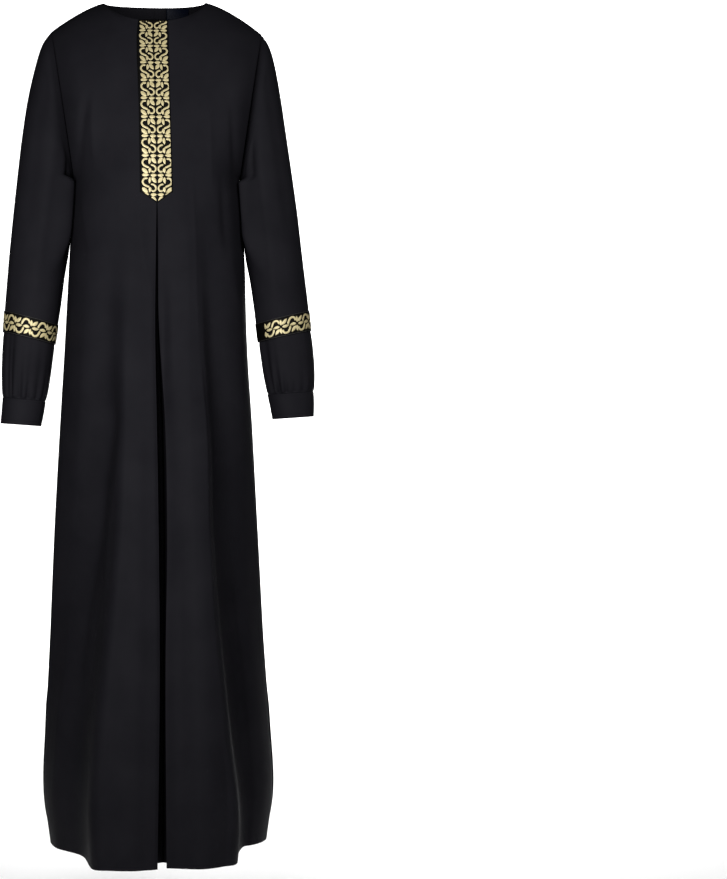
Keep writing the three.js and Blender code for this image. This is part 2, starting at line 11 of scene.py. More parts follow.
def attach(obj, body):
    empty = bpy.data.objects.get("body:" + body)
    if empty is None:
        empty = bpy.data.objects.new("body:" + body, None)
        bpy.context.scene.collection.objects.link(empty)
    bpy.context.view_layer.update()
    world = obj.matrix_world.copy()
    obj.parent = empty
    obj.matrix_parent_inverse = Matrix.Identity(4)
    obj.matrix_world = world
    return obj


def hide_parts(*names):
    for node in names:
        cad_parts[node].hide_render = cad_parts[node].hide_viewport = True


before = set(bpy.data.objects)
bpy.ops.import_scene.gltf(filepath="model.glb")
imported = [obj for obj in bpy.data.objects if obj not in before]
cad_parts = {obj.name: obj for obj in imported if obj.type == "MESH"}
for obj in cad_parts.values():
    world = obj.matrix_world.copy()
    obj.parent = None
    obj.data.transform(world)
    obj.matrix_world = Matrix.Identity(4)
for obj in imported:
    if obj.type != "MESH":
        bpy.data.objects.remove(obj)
MM = 0.001

# Cloth
SHELL = 0.9 * MM
RIBBON_CLEAR = 0.5 * MM
RIBBON_SHELL = 0.7 * MM
RIBBON_TOP = RIBBON_CLEAR + RIBBON_SHELL
LABEL_SHELL = 0.6 * MM
LABEL_CLEAR = 1.3 * MM

# Neck, shoulders and armholes, as the solids have them
NECK_HALF_WIDTH = 85 * MM
NECK_CENTRE_X = -3.3 * MM
SHOULDER_LIFT = {-1: 0, 1: 3.5 * MM}
NECK_FRONT = {"drop": 42 * MM, "depth": 78 * MM, "roundness": 0.6}
NECK_BACK = {"drop": -6.5 * MM, "depth": 70 * MM, "roundness": 0.6}
SHOULDER_DROP = 50 * MM
SHOULDER_CURVE = 1.35
SHOULDER_FULLNESS = 1.7
ARMHOLE_TOP = (179 * MM, -50 * MM)
UNDERARM = (141 * MM, -297 * MM)
ARMHOLE_MIDDLE_Y = 4 * MM
ARMHOLE_HALF_DEPTH = 55 * MM
ARMHOLE_HOLLOW = {"front": 2 * MM, "back": 9 * MM}

# Heights
UNDERARM_Z = UNDERARM[1]
TRIM_CORNER_Z = -331 * MM
FRONT_PLEAT_TOP_Z = -349 * MM
BACK_PLEAT_TOP_Z = -465 * MM
HEM_Z = -1433 * MM

# Skirt sections: half widths to the wearer's right and left, and depth of front, back and side seam
SECTION_COLUMNS = ("z", "right", "left", "front", "back", "side")
SECTIONS = np.array([
    (-297, 141, 141, -125, 108, 5),
    (-435, 148, 149, -129, 106, 6),
    (-571, 155, 152, -134, 114, 9),
    (-715, 164, 162, -143, 129, 15),
    (-885, 174, 172, -158, 152, 26),
    (-1055, 182, 182, -177, 180, 42),
    (-1225, 190, 194, -196, 208, 62),
    (-1360, 193, 200, -208, 228, 80),
    (-1433, 183, 191, -213, 236, 90),
]) * MM
SECTION_ROUNDNESS = 2.4

# Folds: share of the way from the centre to the side seam, and where that line meets the hem, x and y
FOLDS = {
    ("front", -1): [
        (0.0, 1.6, -211), (0.095, -18, -216), (0.185, -42, -221), (0.26, -74, -213), (0.333, -99, -195),
        (0.38, -107, -141), (0.43, -119, -85), (0.5, -148, -38), (0.6, -167, -5), (0.7, -175, 20),
        (0.8, -180, 45), (0.9, -183, 68), (1.0, -183, 90),
    ],
    ("front", 1): [
        (0.0, 19.4, -205), (0.095, 36, -206), (0.185, 52, -211), (0.28, 72, -213), (0.36, 88, -206),
        (0.42, 105, -190), (0.476, 124, -166), (0.52, 129, -90), (0.58, 143, -22), (0.66, 163, 2),
        (0.77, 178, 26), (0.88, 188, 58), (1.0, 191, 90),
    ],
    ("back", -1): [
        (0.0, -77, 213), (0.12, -91, 226), (0.25, -106, 231), (0.38, -123, 233), (0.5, -138, 231),
        (0.6, -153, 222), (0.7, -168, 206), (0.8, -178, 182), (0.9, -184, 140), (1.0, -183, 90),
    ],
    ("back", 1): [
        (0.0, 30, 240), (0.14, 52, 241), (0.27, 76, 235), (0.4, 98, 224), (0.5, 116, 212),
        (0.6, 133, 196), (0.7, 149, 178), (0.8, 166, 157), (0.9, 182, 124), (1.0, 191, 90),
    ],
}
NECK_SHARE = {("front", -1): 0.6, ("front", 1): 0.58, ("back", -1): 0.6, ("back", 1): 0.6}
SPREAD = (-750 * MM, -1370 * MM)
DEEPEN = (-430 * MM, HEM_Z)

# Inverted pleats: height, x of the folded edges to the wearer's right and left, depth of the middle
PLEAT_COLUMNS = ("z", "right", "left", "middle")
PLEATS = {
    "front": np.array([
        (-349, -0.6, 0.6, -119), (-440, -2, 4, -120), (-555, -3, 8, -121), (-715, 0, 18, -125),
        (-890, 3, 21, -136), (-1100, 5, 18, -156), (-1433, 1.6, 19.4, -184),
    ]) * MM,
    "back": np.array([
        (-465, -5.6, -4.4, 99), (-570, -12, -5, 90), (-666, -19, -5, 79), (-760, -28, -4, 70),
        (-885, -37, 0, 61), (-1020, -45, 10, 54), (-1140, -54, 17, 50), (-1230, -64, 21, 47),
        (-1360, -74, 27, 42), (-1433, -77, 30, 39),
    ]) * MM,
}
PLEAT_DEEPER = {"front": 40 * MM, "back": 0}
DEEPER_OVER = 350 * MM
# The turned-in cloth between its middle and its edge: how far in at the top and added at the hem, the part
# of that at the outer point, and the share of the depth at the inner and the outer point
FRONT_TURN = {"top": 4, "more": 8, "outer": 0.45, "depths": (0.68, 0.3)}
BACK_TURNS = {
    -1: {"top": -0.6, "more": 1.22, "outer": 0.42, "depths": (0.8, 0.28)},
    1: {"top": -0.6, "more": 0.55, "outer": 0.42, "depths": (0.95, 0.5)},
}
BACK_MIDDLE = 0.75
PLEAT_TOP = {"front": FRONT_PLEAT_TOP_Z, "back": BACK_PLEAT_TOP_Z}
NECKS = {"front": NECK_FRONT, "back": NECK_BACK}
FACE = {"front": -1, "back": 1}

# Sleeve rings: outer x and z, inner x and z, half depth, middle y
SLEEVES = {
    -1: {
        "rings": [
            (193, -71, 142.5, -302, 60, 3), (204, -104, 142, -312, 62, 3), (217.5, -163, 142, -332, 61, 2),
            (227, -225, 143, -360, 59, 1), (234.5, -290, 146, -394, 56, -1),
            (241.5, -357, 151.5, -434, 53, -4), (248, -425, 156.5, -474, 50, -7),
            (252.5, -480, 161.5, -514, 47, -9),
        ],
        "band": [(255.5, -520, 166, -544, 45, -11), (257.5, -557, 171.2, -578, 43, -13)],
        "lower": [(258.5, -590, 176, -606, 42, -14), (259, -625, 180.5, -637, 40, -16),
                  (259, -652, 184, -661, 38, -17)],
        "cuff": [(259, -669, 186.5, -676, 36, -18), (262.5, -713, 194, -718, 34, -20)],
    },
    1: {
        "rings": [
            (191.5, -71, 142.5, -302, 60, 3), (201, -104, 142, -312, 62, 3), (211.5, -163, 142, -332, 61, 2),
            (220.5, -225, 143, -360, 59, 1), (229.5, -290, 146, -394, 56, -1),
            (238.5, -357, 151.5, -434, 53, -4), (246, -425, 158, -474, 50, -7),
            (252.5, -480, 163.5, -512, 47, -9),
        ],
        "band": [(257.5, -518, 167, -541, 45, -11), (261, -553, 171.2, -573, 43, -13)],
        "lower": [(264, -586, 175.5, -600, 42, -14), (266, -619, 180, -628, 40, -16),
                  (266.5, -643, 184, -650, 38, -17)],
        "cuff": [(266, -659, 186.5, -664, 36, -18), (266, -701, 195, -706, 34, -20)],
    },
}
SLEEVE_OFF_BODY = 0.8 * MM
SLEEVE_PRESS = (108, 136)
SLEEVE_BACK = 200
PRESS_STARTS = (UNDERARM_Z + 1 * MM, UNDERARM_Z - 9 * MM)
PRESS_ENDS = (-385 * MM, -470 * MM)


# Curves and tables
def eased(share):
    share = np.clip(share, 0, 1)
    return share * share * (3 - 2 * share)


def fall(z, span):
    return eased((span[0] - z) / (span[0] - span[1]))


def smooth_through(knots, values, at):
    """Cubic curve through the values at rising knots, sampled at each place in at."""
    knots, values, at = np.asarray(knots, float), np.asarray(values, float), np.asarray(at, float)
    slopes = np.gradient(values, knots, axis=0)
    slopes[0] = (values[1] - values[0]) / (knots[1] - knots[0])
    slopes[-1] = (values[-1] - values[-2]) / (knots[-1] - knots[-2])
    k = np.clip(np.searchsorted(knots, at, side="right") - 1, 0, len(knots) - 2)
    width = knots[k + 1] - knots[k]
    s = np.clip((at - knots[k]) / width, 0, 1)
    extra = (1,) * (values.ndim - 1)
    s, width = s.reshape(s.shape + extra), width.reshape(width.shape + extra)
    a, b = values[k], values[k + 1]
    return (
        (2 * s**3 - 3 * s**2 + 1) * a
        + (s**3 - 2 * s**2 + s) * width * slopes[k]
        + (3 * s**2 - 2 * s**3) * b
        + (s**3 - s**2) * width * slopes[k + 1]
    )


def bell(away, width):
    return np.exp(-((away / width) ** 2))


def column(table, names, name, z):
    return smooth_through(-table[:, 0], table[:, names.index(name)], -np.asarray(z, float))


def section(name, z):
    return column(SECTIONS, SECTION_COLUMNS, name, z)


def side_name(side):
    return "left" if side > 0 else "right"


# The body's surface
def top_edge(share, side, panel):
    """The panel's top: the neckline, and from the neck's share outwards the shoulder seam."""
    neck, neck_at = NECKS[panel], NECK_SHARE[panel, side]
    along = np.clip(share / neck_at, 0, 1)
    out = np.clip((share - neck_at) / (1 - neck_at), 0, 1)
    inside = 1 - along**2
    neck_end = NECK_CENTRE_X + side * NECK_HALF_WIDTH
    on_neck = share <= neck_at
    x = np.where(on_neck, NECK_CENTRE_X + side * NECK_HALF_WIDTH * along,
                 neck_end + (side * ARMHOLE_TOP[0] - neck_end) * out)
    y = np.where(on_neck, neck["depth"] * np.sqrt(inside), -ARMHOLE_MIDDLE_Y * out)
    z = np.where(on_neck, -neck["drop"] * inside ** neck["roundness"], -SHOULDER_DROP * out**SHOULDER_CURVE)
    return x, y, z + SHOULDER_LIFT[side] * np.where(on_neck, along**3, 1 - out**3)


def armhole(angle, panel, side):
    share = (1 - np.cos(angle)) / 2
    x = ARMHOLE_TOP[0] + (UNDERARM[0] - ARMHOLE_TOP[0]) * share - ARMHOLE_HOLLOW[panel] * np.sin(angle)
    y = ARMHOLE_MIDDLE_Y + FACE[panel] * ARMHOLE_HALF_DEPTH * np.sin(angle)
    z = ARMHOLE_TOP[1] + (UNDERARM[1] - ARMHOLE_TOP[1]) * share
    return np.stack([side * x, y, z], -1)


def centre_edge(panel, side, z):
    pleat = PLEATS[panel]
    top = (pleat[0, 1] + pleat[0, 2]) / 2
    above = NECK_CENTRE_X + (top - NECK_CENTRE_X) * np.clip(z / PLEAT_TOP[panel], 0, 1)
    return np.where(z <= PLEAT_TOP[panel], column(pleat, PLEAT_COLUMNS, side_name(side), z), above)


def skirt(panel, side, share, z):
    """Points of a skirt panel at arrays of shares and heights, which broadcast."""
    folds = np.array(FOLDS[panel, side])
    hem_xy = smooth_through(folds[:, 0], folds[:, 1:] * MM, share)

    def base(height):
        edge = side * section(side_name(side), height)
        centre = centre_edge(panel, side, height)
        x = centre + (edge - centre) * share
        reach = np.clip(np.abs(x / edge), 0, 1)
        bow = (1 - reach**SECTION_ROUNDNESS) ** (1 / SECTION_ROUNDNESS)
        seam = section("side", height)
        return x, seam + (section(panel, height) - seam) * bow

    x, y = base(z)
    hem_x, hem_y = base(np.full_like(z, HEM_Z))
    x = x + (hem_xy[..., 0] - hem_x) * fall(z, SPREAD)
    y = y + (hem_xy[..., 1] - hem_y) * fall(z, DEEPEN)
    return np.stack(np.broadcast_arrays(x, y, z), -1)


def bodice(panel, side, share, angle):
    """Points above the underarm level, at arrays of shares and armhole angles, which broadcast."""
    share, angle = np.broadcast_arrays(share, angle)
    neck_at = NECK_SHARE[panel, side]
    face = FACE[panel]
    bottom = skirt(panel, side, share, np.full(share.shape, UNDERARM_Z))
    top_x, top_y, top_z = top_edge(share, side, panel)
    down = (1 - np.cos(angle)) / 2
    out = np.minimum(share / neck_at, 1)
    moved = forward(down, 1 + (SHOULDER_FULLNESS - 1) * out**3 * (4 - 3 * out))
    x = top_x * (1 - down) + bottom[..., 0] * down
    y = face * top_y * (1 - moved) + bottom[..., 1] * moved
    z = top_z * (1 - down) + UNDERARM_Z * down
    tip_x, tip_y, tip_z = top_edge(np.array(1.0), side, panel)
    seam_y = section("side", UNDERARM_Z)
    last = forward(down, SHOULDER_FULLNESS)
    straight = np.stack([
        tip_x * (1 - down) + side * UNDERARM[0] * down,
        face * tip_y * (1 - last) + seam_y * last,
        tip_z * (1 - down) + UNDERARM_Z * down,
    ], -1)
    hold = share ** (3 + 9 * down**6)
    return np.stack([x, y, z], -1) + (armhole(angle, panel, side) - straight) * hold[..., None]


def forward(down, fullness):
    """How far the cloth has come forward at a share of the way down, more at once over the shoulder."""
    return (1 - (1 - down) ** 2) ** (1 / fullness)


def pleat(panel, side, edge):
    """The pleat's turned-in cloth, from its middle to the folded edge, at each height of the edge."""
    z = edge[:, 2]
    right, left, middle_y = (column(PLEATS[panel], PLEAT_COLUMNS, name, z) for name in PLEAT_COLUMNS[1:])
    opened = fall(z, (PLEAT_TOP[panel], HEM_Z))
    middle_y = middle_y + PLEAT_DEEPER[panel] * fall(z, (PLEAT_TOP[panel], PLEAT_TOP[panel] - DEEPER_OVER))

    def inward(x, share):
        return np.stack([x, edge[:, 1] + (middle_y - edge[:, 1]) * share, z], -1)

    turn = FRONT_TURN if panel == "front" else BACK_TURNS[side]
    amount = turn["top"] + turn["more"] * opened
    deep, shallow = turn["depths"]
    if panel == "front":
        middle = (left + right) / 2
        inner = side * amount * MM
        outer = turn["outer"] * inner
    else:
        middle = right + (left - right) * BACK_MIDDLE
        across = middle - edge[:, 0]
        inner = across * amount
        outer = across * turn["outer"] * amount
    knots = [inward(middle, 1), inward(edge[:, 0] + inner, deep), inward(edge[:, 0] + outer, shallow)]
    return np.stack(knots + [edge], 1)


def shares_with_fine_ends(count, fine):
    """Shares from 0 to 1, closer together at both ends."""
    even = np.linspace(0, 1, count)
    ends = np.array([fine, 2 * fine, 4 * fine])
    return np.unique(np.concatenate([even, ends, 1 - ends]))


# Meshes
def normals_of(points, outward):
    along = np.gradient(points, axis=0)
    across = np.gradient(points, axis=1)
    normal = np.cross(along, across) * outward
    return normal / np.maximum(np.linalg.norm(normal, axis=-1, keepdims=True), 1e-12)


def new_object(name, points, faces, material):
    mesh = bpy.data.meshes.new(name)
    mesh.from_pydata(points, [], faces)
    mesh.validate()
    for face in mesh.polygons:
        face.use_smooth = True
    mesh.materials.append(material)
    piece = bpy.data.objects.new(name, mesh)
    bpy.context.scene.collection.objects.link(piece)
    return piece


def faces_between(present, first=0):
    """Faces between neighbouring points of a grid where all four are present, numbered from first."""
    number = np.full(present.shape, -1)
    number[present] = np.arange(present.sum()) + first
    corners = np.stack([number[:-1, :-1], number[1:, :-1], number[1:, 1:], number[:-1, 1:]], -1)
    return corners[(corners >= 0).all(-1)]


def grid_object(name, points, outward, material, thickness, present=None):
    """A cloth shell from a grid of points, with a gap where points aren't present."""
    if present is None:
        present = np.ones(points.shape[:2], bool)
    faces = faces_between(present)
    if outward < 0:
        faces = faces[:, ::-1]
    piece = new_object(name, points[present].tolist(), faces.tolist(), material)
    if thickness:
        shell = piece.modifiers.new("shell", "SOLIDIFY")
        shell.thickness = thickness
        shell.offset = -1
    return piece


# Creases on the body: height above the cloth, half widths towards -X and +X, and the line that each
# follows, as x, z and strength. The last ones of each panel are soft drag lines of the upper body.
CREASES = {
    ("front", -1): [
        (7, 17, 36, [(-55, -690, 0), (-61, -795, 0.6), (-72, -888, 0.9), (-80, -1023, 1), (-88, -1131, 1),
         (-100, -1222, 1), (-103, -1291, 0.9), (-105, -1370, 0.9), (-105, -1433, 0.8)]),
        (1.1, 3, 3.5, [(-57, -740, 0), (-61, -795, 0.8), (-72, -888, 0.9), (-80, -1023, 1),
         (-88, -1131, 0.8), (-100, -1222, 1.1), (-103, -1291, 0.7), (-105, -1370, 0.6),
         (-105, -1433, 0.5)]),
        (-11, 22, 17, [(-70, -380, 0), (-77, -461, 0.3), (-82, -593, 0.6), (-83, -659, 0.85),
         (-81, -713, 1), (-93, -795, 1.05), (-101, -888, 1), (-113, -961, 1), (-124, -1018, 1.05),
         (-133, -1100, 0.9), (-137, -1190, 0.8), (-141, -1259, 0.7), (-143, -1433, 0.3)]),
        (2.6, 7, 11, [(-150, -1030, 0), (-157, -1135, 1), (-163, -1179, 1.1), (-168, -1231, 0.9),
         (-173, -1307, 0.5), (-176, -1370, 0)]),
        (5, 27, 30, [(-40, -370, 0), (-41, -428, 0.5), (-44, -510, 0.9), (-49, -593, 1), (-50, -757, 1),
         (-53, -860, 0.5), (-56, -980, 0)]),
        (0.8, 3.5, 6, [(-38, -338, 0), (-33, -362, 1), (-25, -411, 1.1), (-16, -461, 0.8),
         (-7, -512, 0.3), (-4, -540, 0)]),
        (-1.4, 9, 11, [(-15, -350, 0), (-13, -390, 1), (-9, -450, 0.8), (-6, -520, 0)]),
        (1.3, 5, 8, [(-124, -315, 0), (-122, -353, 1), (-119, -386, 1), (-114, -411, 0.8),
         (-110, -470, 0)]),
        (4.5, 24, 20, [(-112, -410, 0), (-116, -520, 0.8), (-122, -650, 1), (-132, -800, 1),
         (-142, -900, 0.6), (-150, -990, 0)]),
        (1.8, 6, 8, [(-103, -155, 0), (-107, -200, 1), (-106, -250, 1), (-103, -300, 0)]),
        (-3, 7, 8, [(-114, -165, 0), (-120, -196, 1), (-127, -250, 1.1), (-132, -315, 0)]),
        (-1.2, 18, 18, [(-60, -170, 0), (-64, -260, 1), (-62, -380, 0)]),
    ],
    ("front", 1): [
        (7, 36, 16, [(70, -590, 0), (72, -650, 0.5), (76, -708, 0.8), (79, -839, 1), (81, -888, 1),
         (85, -969, 1), (89, -1039, 1), (94, -1098, 1.1), (102, -1167, 1), (105, -1222, 1.1),
         (113, -1275, 1), (121, -1327, 1.1), (126, -1381, 1), (126, -1433, 0.8)]),
        (1.2, 3.5, 2.6, [(70, -590, 0), (72, -650, 0.7), (76, -708, 0.8), (79, -839, 1), (81, -888, 0.9),
         (85, -969, 0.8), (89, -1039, 1), (94, -1098, 1.2), (102, -1167, 0.9), (105, -1222, 1.2),
         (113, -1275, 1), (121, -1327, 1.2), (126, -1381, 1), (126, -1433, 0.8)]),
        (-11, 15, 23, [(80, -350, 0), (84, -411, 0.3), (89, -494, 0.5), (94, -560, 0.7), (100, -659, 0.9),
         (103, -713, 1), (106, -795, 1), (105, -877, 1), (109, -953, 0.95), (117, -1034, 1),
         (125, -1131, 0.9), (136, -1227, 0.8), (150, -1330, 0.5), (156, -1433, 0.3)]),
        (3.5, 16, 13, [(118, -390, 0), (125, -456, 0.9), (133, -510, 1), (137, -548, 1.1),
         (141, -637, 0.9), (146, -757, 0.6), (152, -921, 0)]),
        (1.0, 4, 4.5, [(58, -305, 0), (59, -329, 0.8), (63, -423, 1), (64, -494, 1), (67, -560, 0.7),
         (69, -620, 0)]),
        (4.5, 22, 26, [(48, -330, 0), (50, -420, 0.8), (52, -560, 1), (54, -750, 1), (58, -860, 0.5),
         (62, -980, 0)]),
        (-3.5, 5, 6.5, [(15, -470, 0), (15, -510, 0.5), (15, -548, 1), (15, -593, 1), (15, -659, 1),
         (16, -708, 0.6), (16, -770, 0)]),
        (-3, 12, 17, [(14, -350, 0), (14, -390, 1), (15, -450, 1), (15, -500, 0.5), (15, -545, 0)]),
        (-2, 14, 14, [(30, -780, 0), (36, -980, 0.9), (44, -1220, 1), (52, -1433, 0.5)]),
        (2.0, 12, 10, [(140, -900, 0), (150, -1040, 1), (163, -1200, 0.9), (176, -1400, 0.3)]),
        (1.5, 6, 7, [(84, -180, 0), (87, -210, 1), (89, -270, 1), (92, -335, 0)]),
        (-2.4, 7, 8, [(107, -290, 0), (110, -330, 1), (114, -400, 1), (118, -445, 0)]),
        (-2.6, 6, 7, [(123, -175, 0), (126, -220, 1), (130, -290, 0.8), (132, -345, 0)]),
        (-1.2, 18, 18, [(56, -180, 0), (62, -280, 1), (64, -400, 0)]),
    ],
    ("back", -1): [
        (2.4, 12, 12, [(-22, -600, 0), (-34, -760, 1), (-52, -980, 0.9), (-72, -1180, 0.8),
         (-92, -1433, 0.5)]),
        (-3.5, 24, 24, [(-78, -560, 0), (-90, -800, 0.8), (-108, -1040, 1), (-128, -1260, 0.8),
         (-142, -1433, 0.4)]),
        (2.2, 16, 16, [(-116, -520, 0), (-128, -760, 0.8), (-148, -1020, 1), (-166, -1300, 0.6),
         (-172, -1433, 0.3)]),
        (1.5, 18, 18, [(-104, -110, 0), (-118, -220, 1), (-122, -350, 0.8), (-116, -470, 0)]),
        (-1.2, 20, 20, [(-58, -250, 0), (-66, -380, 1), (-70, -520, 0)]),
    ],
    ("back", 1): [
        (2.0, 14, 14, [(20, -560, 0), (26, -760, 0.8), (34, -1000, 1), (46, -1240, 0.8),
         (58, -1433, 0.5)]),
        (-3.5, 22, 22, [(70, -620, 0), (80, -860, 0.9), (94, -1100, 1), (112, -1320, 0.7),
         (118, -1433, 0.4)]),
        (2.6, 18, 18, [(112, -540, 0), (122, -800, 0.8), (138, -1060, 1), (156, -1300, 0.7),
         (162, -1433, 0.4)]),
        (1.5, 18, 18, [(106, -120, 0), (118, -230, 1), (120, -360, 0.8), (112, -480, 0)]),
        (-1.2, 20, 20, [(56, -230, 0), (64, -360, 1), (68, -500, 0)]),
    ],
}
SEAM_GROOVE = (0.55 * MM, 2.2 * MM)
EDGE_ROLL = (0.5 * MM, 5 * MM)
NECK_STITCH = 0.6
PLEAT_OPENS_OVER = 200 * MM
PLEAT_ROLL = {
    ("front", -1): (2.5, 3.5), ("front", 1): (8, 10),
    ("back", -1): (2.5, 3.5), ("back", 1): (6, 9),
}
PLEAT_CLOSER = {("front", -1): 0, ("front", 1): 4.5, ("back", -1): 0, ("back", 1): 2}
HEM_STITCH = (0.5 * MM, 18 * MM, 1.2 * MM)


def crease_height(points, rows):
    """How far the creases of a table lift the cloth at each point."""
    x, z = points[..., 0], points[..., 2]
    total = np.zeros(x.shape)
    for height, before, after, line in rows:
        line = np.array(line)
        depth = -line[:, 1] * MM
        at = np.clip(-z, depth[0], depth[-1])
        middle = smooth_through(depth, line[:, 0] * MM, at)
        strength = smooth_through(depth, line[:, 2], at)
        ends_in_cloth = (-z >= depth[0]) & ((-z <= depth[-1]) | (line[-1, 1] * MM <= HEM_Z))
        away = np.abs(x - middle) / (np.where(x < middle, before, after) * MM)
        profile = np.exp(-(away**1.5)) if height > 0 else np.exp(-(away**2))
        total += height * MM * np.clip(strength, 0, None) * profile * ends_in_cloth
    return total


def length_along(points, axis, start):
    """Distance of each point from one end of its row or column."""
    steps = np.linalg.norm(np.diff(points, axis=axis), axis=-1)
    total = np.cumsum(steps, axis=axis)
    padding = [(0, 0), (0, 0)]
    padding[axis] = (1, 0)
    total = np.pad(total, padding)
    if start == "last":
        total = np.take(total, [-1], axis=axis) - total
    return total


BODICE_ROWS = 56
FINE_END = 0.003
HEM_ROWS = [HEM_Z + 1.5 * MM, HEM_Z + 4 * MM]
# Passes and strength of the smoothing across the underarm level, and across the chest below the shoulder
UNDERARM_SMOOTHING = (30, 0.8)
CHEST_SMOOTHING = (80, 0.6)
CHEST_STARTS = 6 * MM
CHEST_EASES_OVER = 50 * MM
CHEST_ENDS_Z = -420 * MM
ARMHOLE_CALM = {"body": 16 * MM, "sleeve": 14 * MM}
ROW_STEP = 7 * MM
FACE_COLUMNS = 92
PLEAT_KNOTS = (0, 0.34, 0.68, 1)
PLEAT_SHARES = np.linspace(0, 1, 15)[:-1]
SMOOTHED_ABOVE_AND_BELOW = 60 * MM


def panel_points(panel, side):
    """The panel's grid, with its creases and seam grooves, and a mask of the points that exist."""
    shares = shares_with_fine_ends(FACE_COLUMNS, FINE_END)
    angles = np.linspace(0, math.pi, BODICE_ROWS)
    stops = [UNDERARM_Z, PLEAT_TOP[panel], HEM_Z]
    heights = []
    for top, bottom in zip(stops, stops[1:]):
        count = max(int(round((top - bottom) / ROW_STEP)), 2)
        heights.extend(np.linspace(top, bottom, count + 1)[1:])
    heights = np.unique(np.round(heights + HEM_ROWS, 6))[::-1]
    upper = bodice(panel, side, shares[None, :], angles[:, None])
    lower = skirt(panel, side, *np.broadcast_arrays(shares[None, :], heights[:, None]))
    face = np.concatenate([upper, lower])

    near = np.clip(1 - np.abs(face[..., 2] - UNDERARM_Z) / SMOOTHED_ABOVE_AND_BELOW, 0, 1)
    near = (near * (1 - shares[None, :] ** 8))[..., None]
    passes, strength = UNDERARM_SMOOTHING
    for _ in range(passes):
        middle = (face[:-2] + face[2:]) / 2
        face[1:-1] += (middle - face[1:-1]) * near[1:-1] * strength

    below = eased((length_along(face, 0, "first") - CHEST_STARTS) / CHEST_EASES_OVER)
    free = (below * (face[..., 2] > CHEST_ENDS_Z))[..., None]
    passes, strength = CHEST_SMOOTHING
    for _ in range(passes):
        middle = (face[:, :-2] + face[:, 2:]) / 2
        face[:, 3:-3] += (middle[:, 2:-2] - face[:, 3:-3]) * free[:, 3:-3] * strength

    outward = -FACE[panel] * side
    normal = normals_of(face, outward)
    from_armhole = length_along(face, 1, "last")
    from_centre = length_along(face, 1, "first")
    from_top = length_along(face, 0, "first")
    from_hem = length_along(face, 0, "last")
    lift = crease_height(face, CREASES[panel, side])
    lift *= 1 - bell(from_armhole, ARMHOLE_CALM["body"])
    depth, width = SEAM_GROOVE
    lift -= depth * bell(from_armhole, width)
    above_pleat = face[..., 2] > PLEAT_TOP[panel]
    lift -= depth * bell(from_centre, width) * above_pleat
    on_neck = shares[None, :] <= NECK_SHARE[panel, side]
    lift -= depth * bell(from_top, width) * ~on_neck
    depth, width = PLEAT_ROLL[panel, side]
    opened = fall(face[..., 2], (PLEAT_TOP[panel], PLEAT_TOP[panel] - PLEAT_OPENS_OVER))
    rolled = bell(from_centre, width * MM) * opened
    lift -= depth * MM * rolled
    depth, width = EDGE_ROLL
    edge = np.clip(from_top / width, 0, 1)
    stitch = NECK_STITCH * depth * bell(from_top - width, 1 * MM)
    lift += on_neck * (depth * np.sin(math.pi * edge) - stitch)
    depth, height, width = HEM_STITCH
    lift -= depth * bell(from_hem - height, width)
    face = face + normal * lift[..., None]
    face[..., 0] -= side * PLEAT_CLOSER[panel, side] * MM * rolled

    edge = face[:, 0]
    pleated = edge[:, 2] <= PLEAT_TOP[panel] + 1e-6
    knots = pleat(panel, side, edge)
    turned = np.stack([smooth_through(PLEAT_KNOTS, knots[i], PLEAT_SHARES) for i in range(len(knots))])
    points = np.concatenate([turned, face], axis=1)
    present = np.ones(points.shape[:2], bool)
    present[~pleated, : len(PLEAT_SHARES)] = False
    return points, present, outward


# Sleeves
SLEEVE_COLUMNS = 96
FOLD_EASE = 1.2
# Folds along the sleeve: degrees round it, start and end in rings, drift in degrees, height in mm, width
SLEEVE_FOLDS = {
    -1: [
        (146, 1.0, 6.4, 4, -7.0, 12), (128, 0.8, 5.4, 0, 1.6, 9), (62, 0.6, 6.5, 4, -2.2, 15),
        (100, 1.6, 8.5, -6, 1.6, 12), (30, 4.2, 9.2, 6, 1.4, 14), (205, 0.4, 5.0, 8, -2.6, 14),
        (238, 0.8, 6.6, -6, 2.0, 14), (282, 1.4, 8.6, 6, -1.6, 16), (330, 3.2, 9.2, 4, 1.4, 16),
    ],
    1: [
        (119, 1.2, 5.6, 6, -5.0, 9), (142, 1.0, 5.4, 4, 2.4, 8), (58, 0.5, 6.8, -4, -2.2, 15),
        (94, 1.8, 8.3, 8, 1.7, 12), (146, 0.6, 6.0, 4, -4.0, 9), (24, 3.8, 9.2, -6, 1.4, 14),
        (202, 0.4, 5.4, 10, -2.4, 14), (244, 0.8, 6.2, -8, 2.0, 14), (290, 1.6, 8.4, 4, -1.7, 16),
        (334, 3.4, 9.2, 6, 1.4, 16),
    ],
}
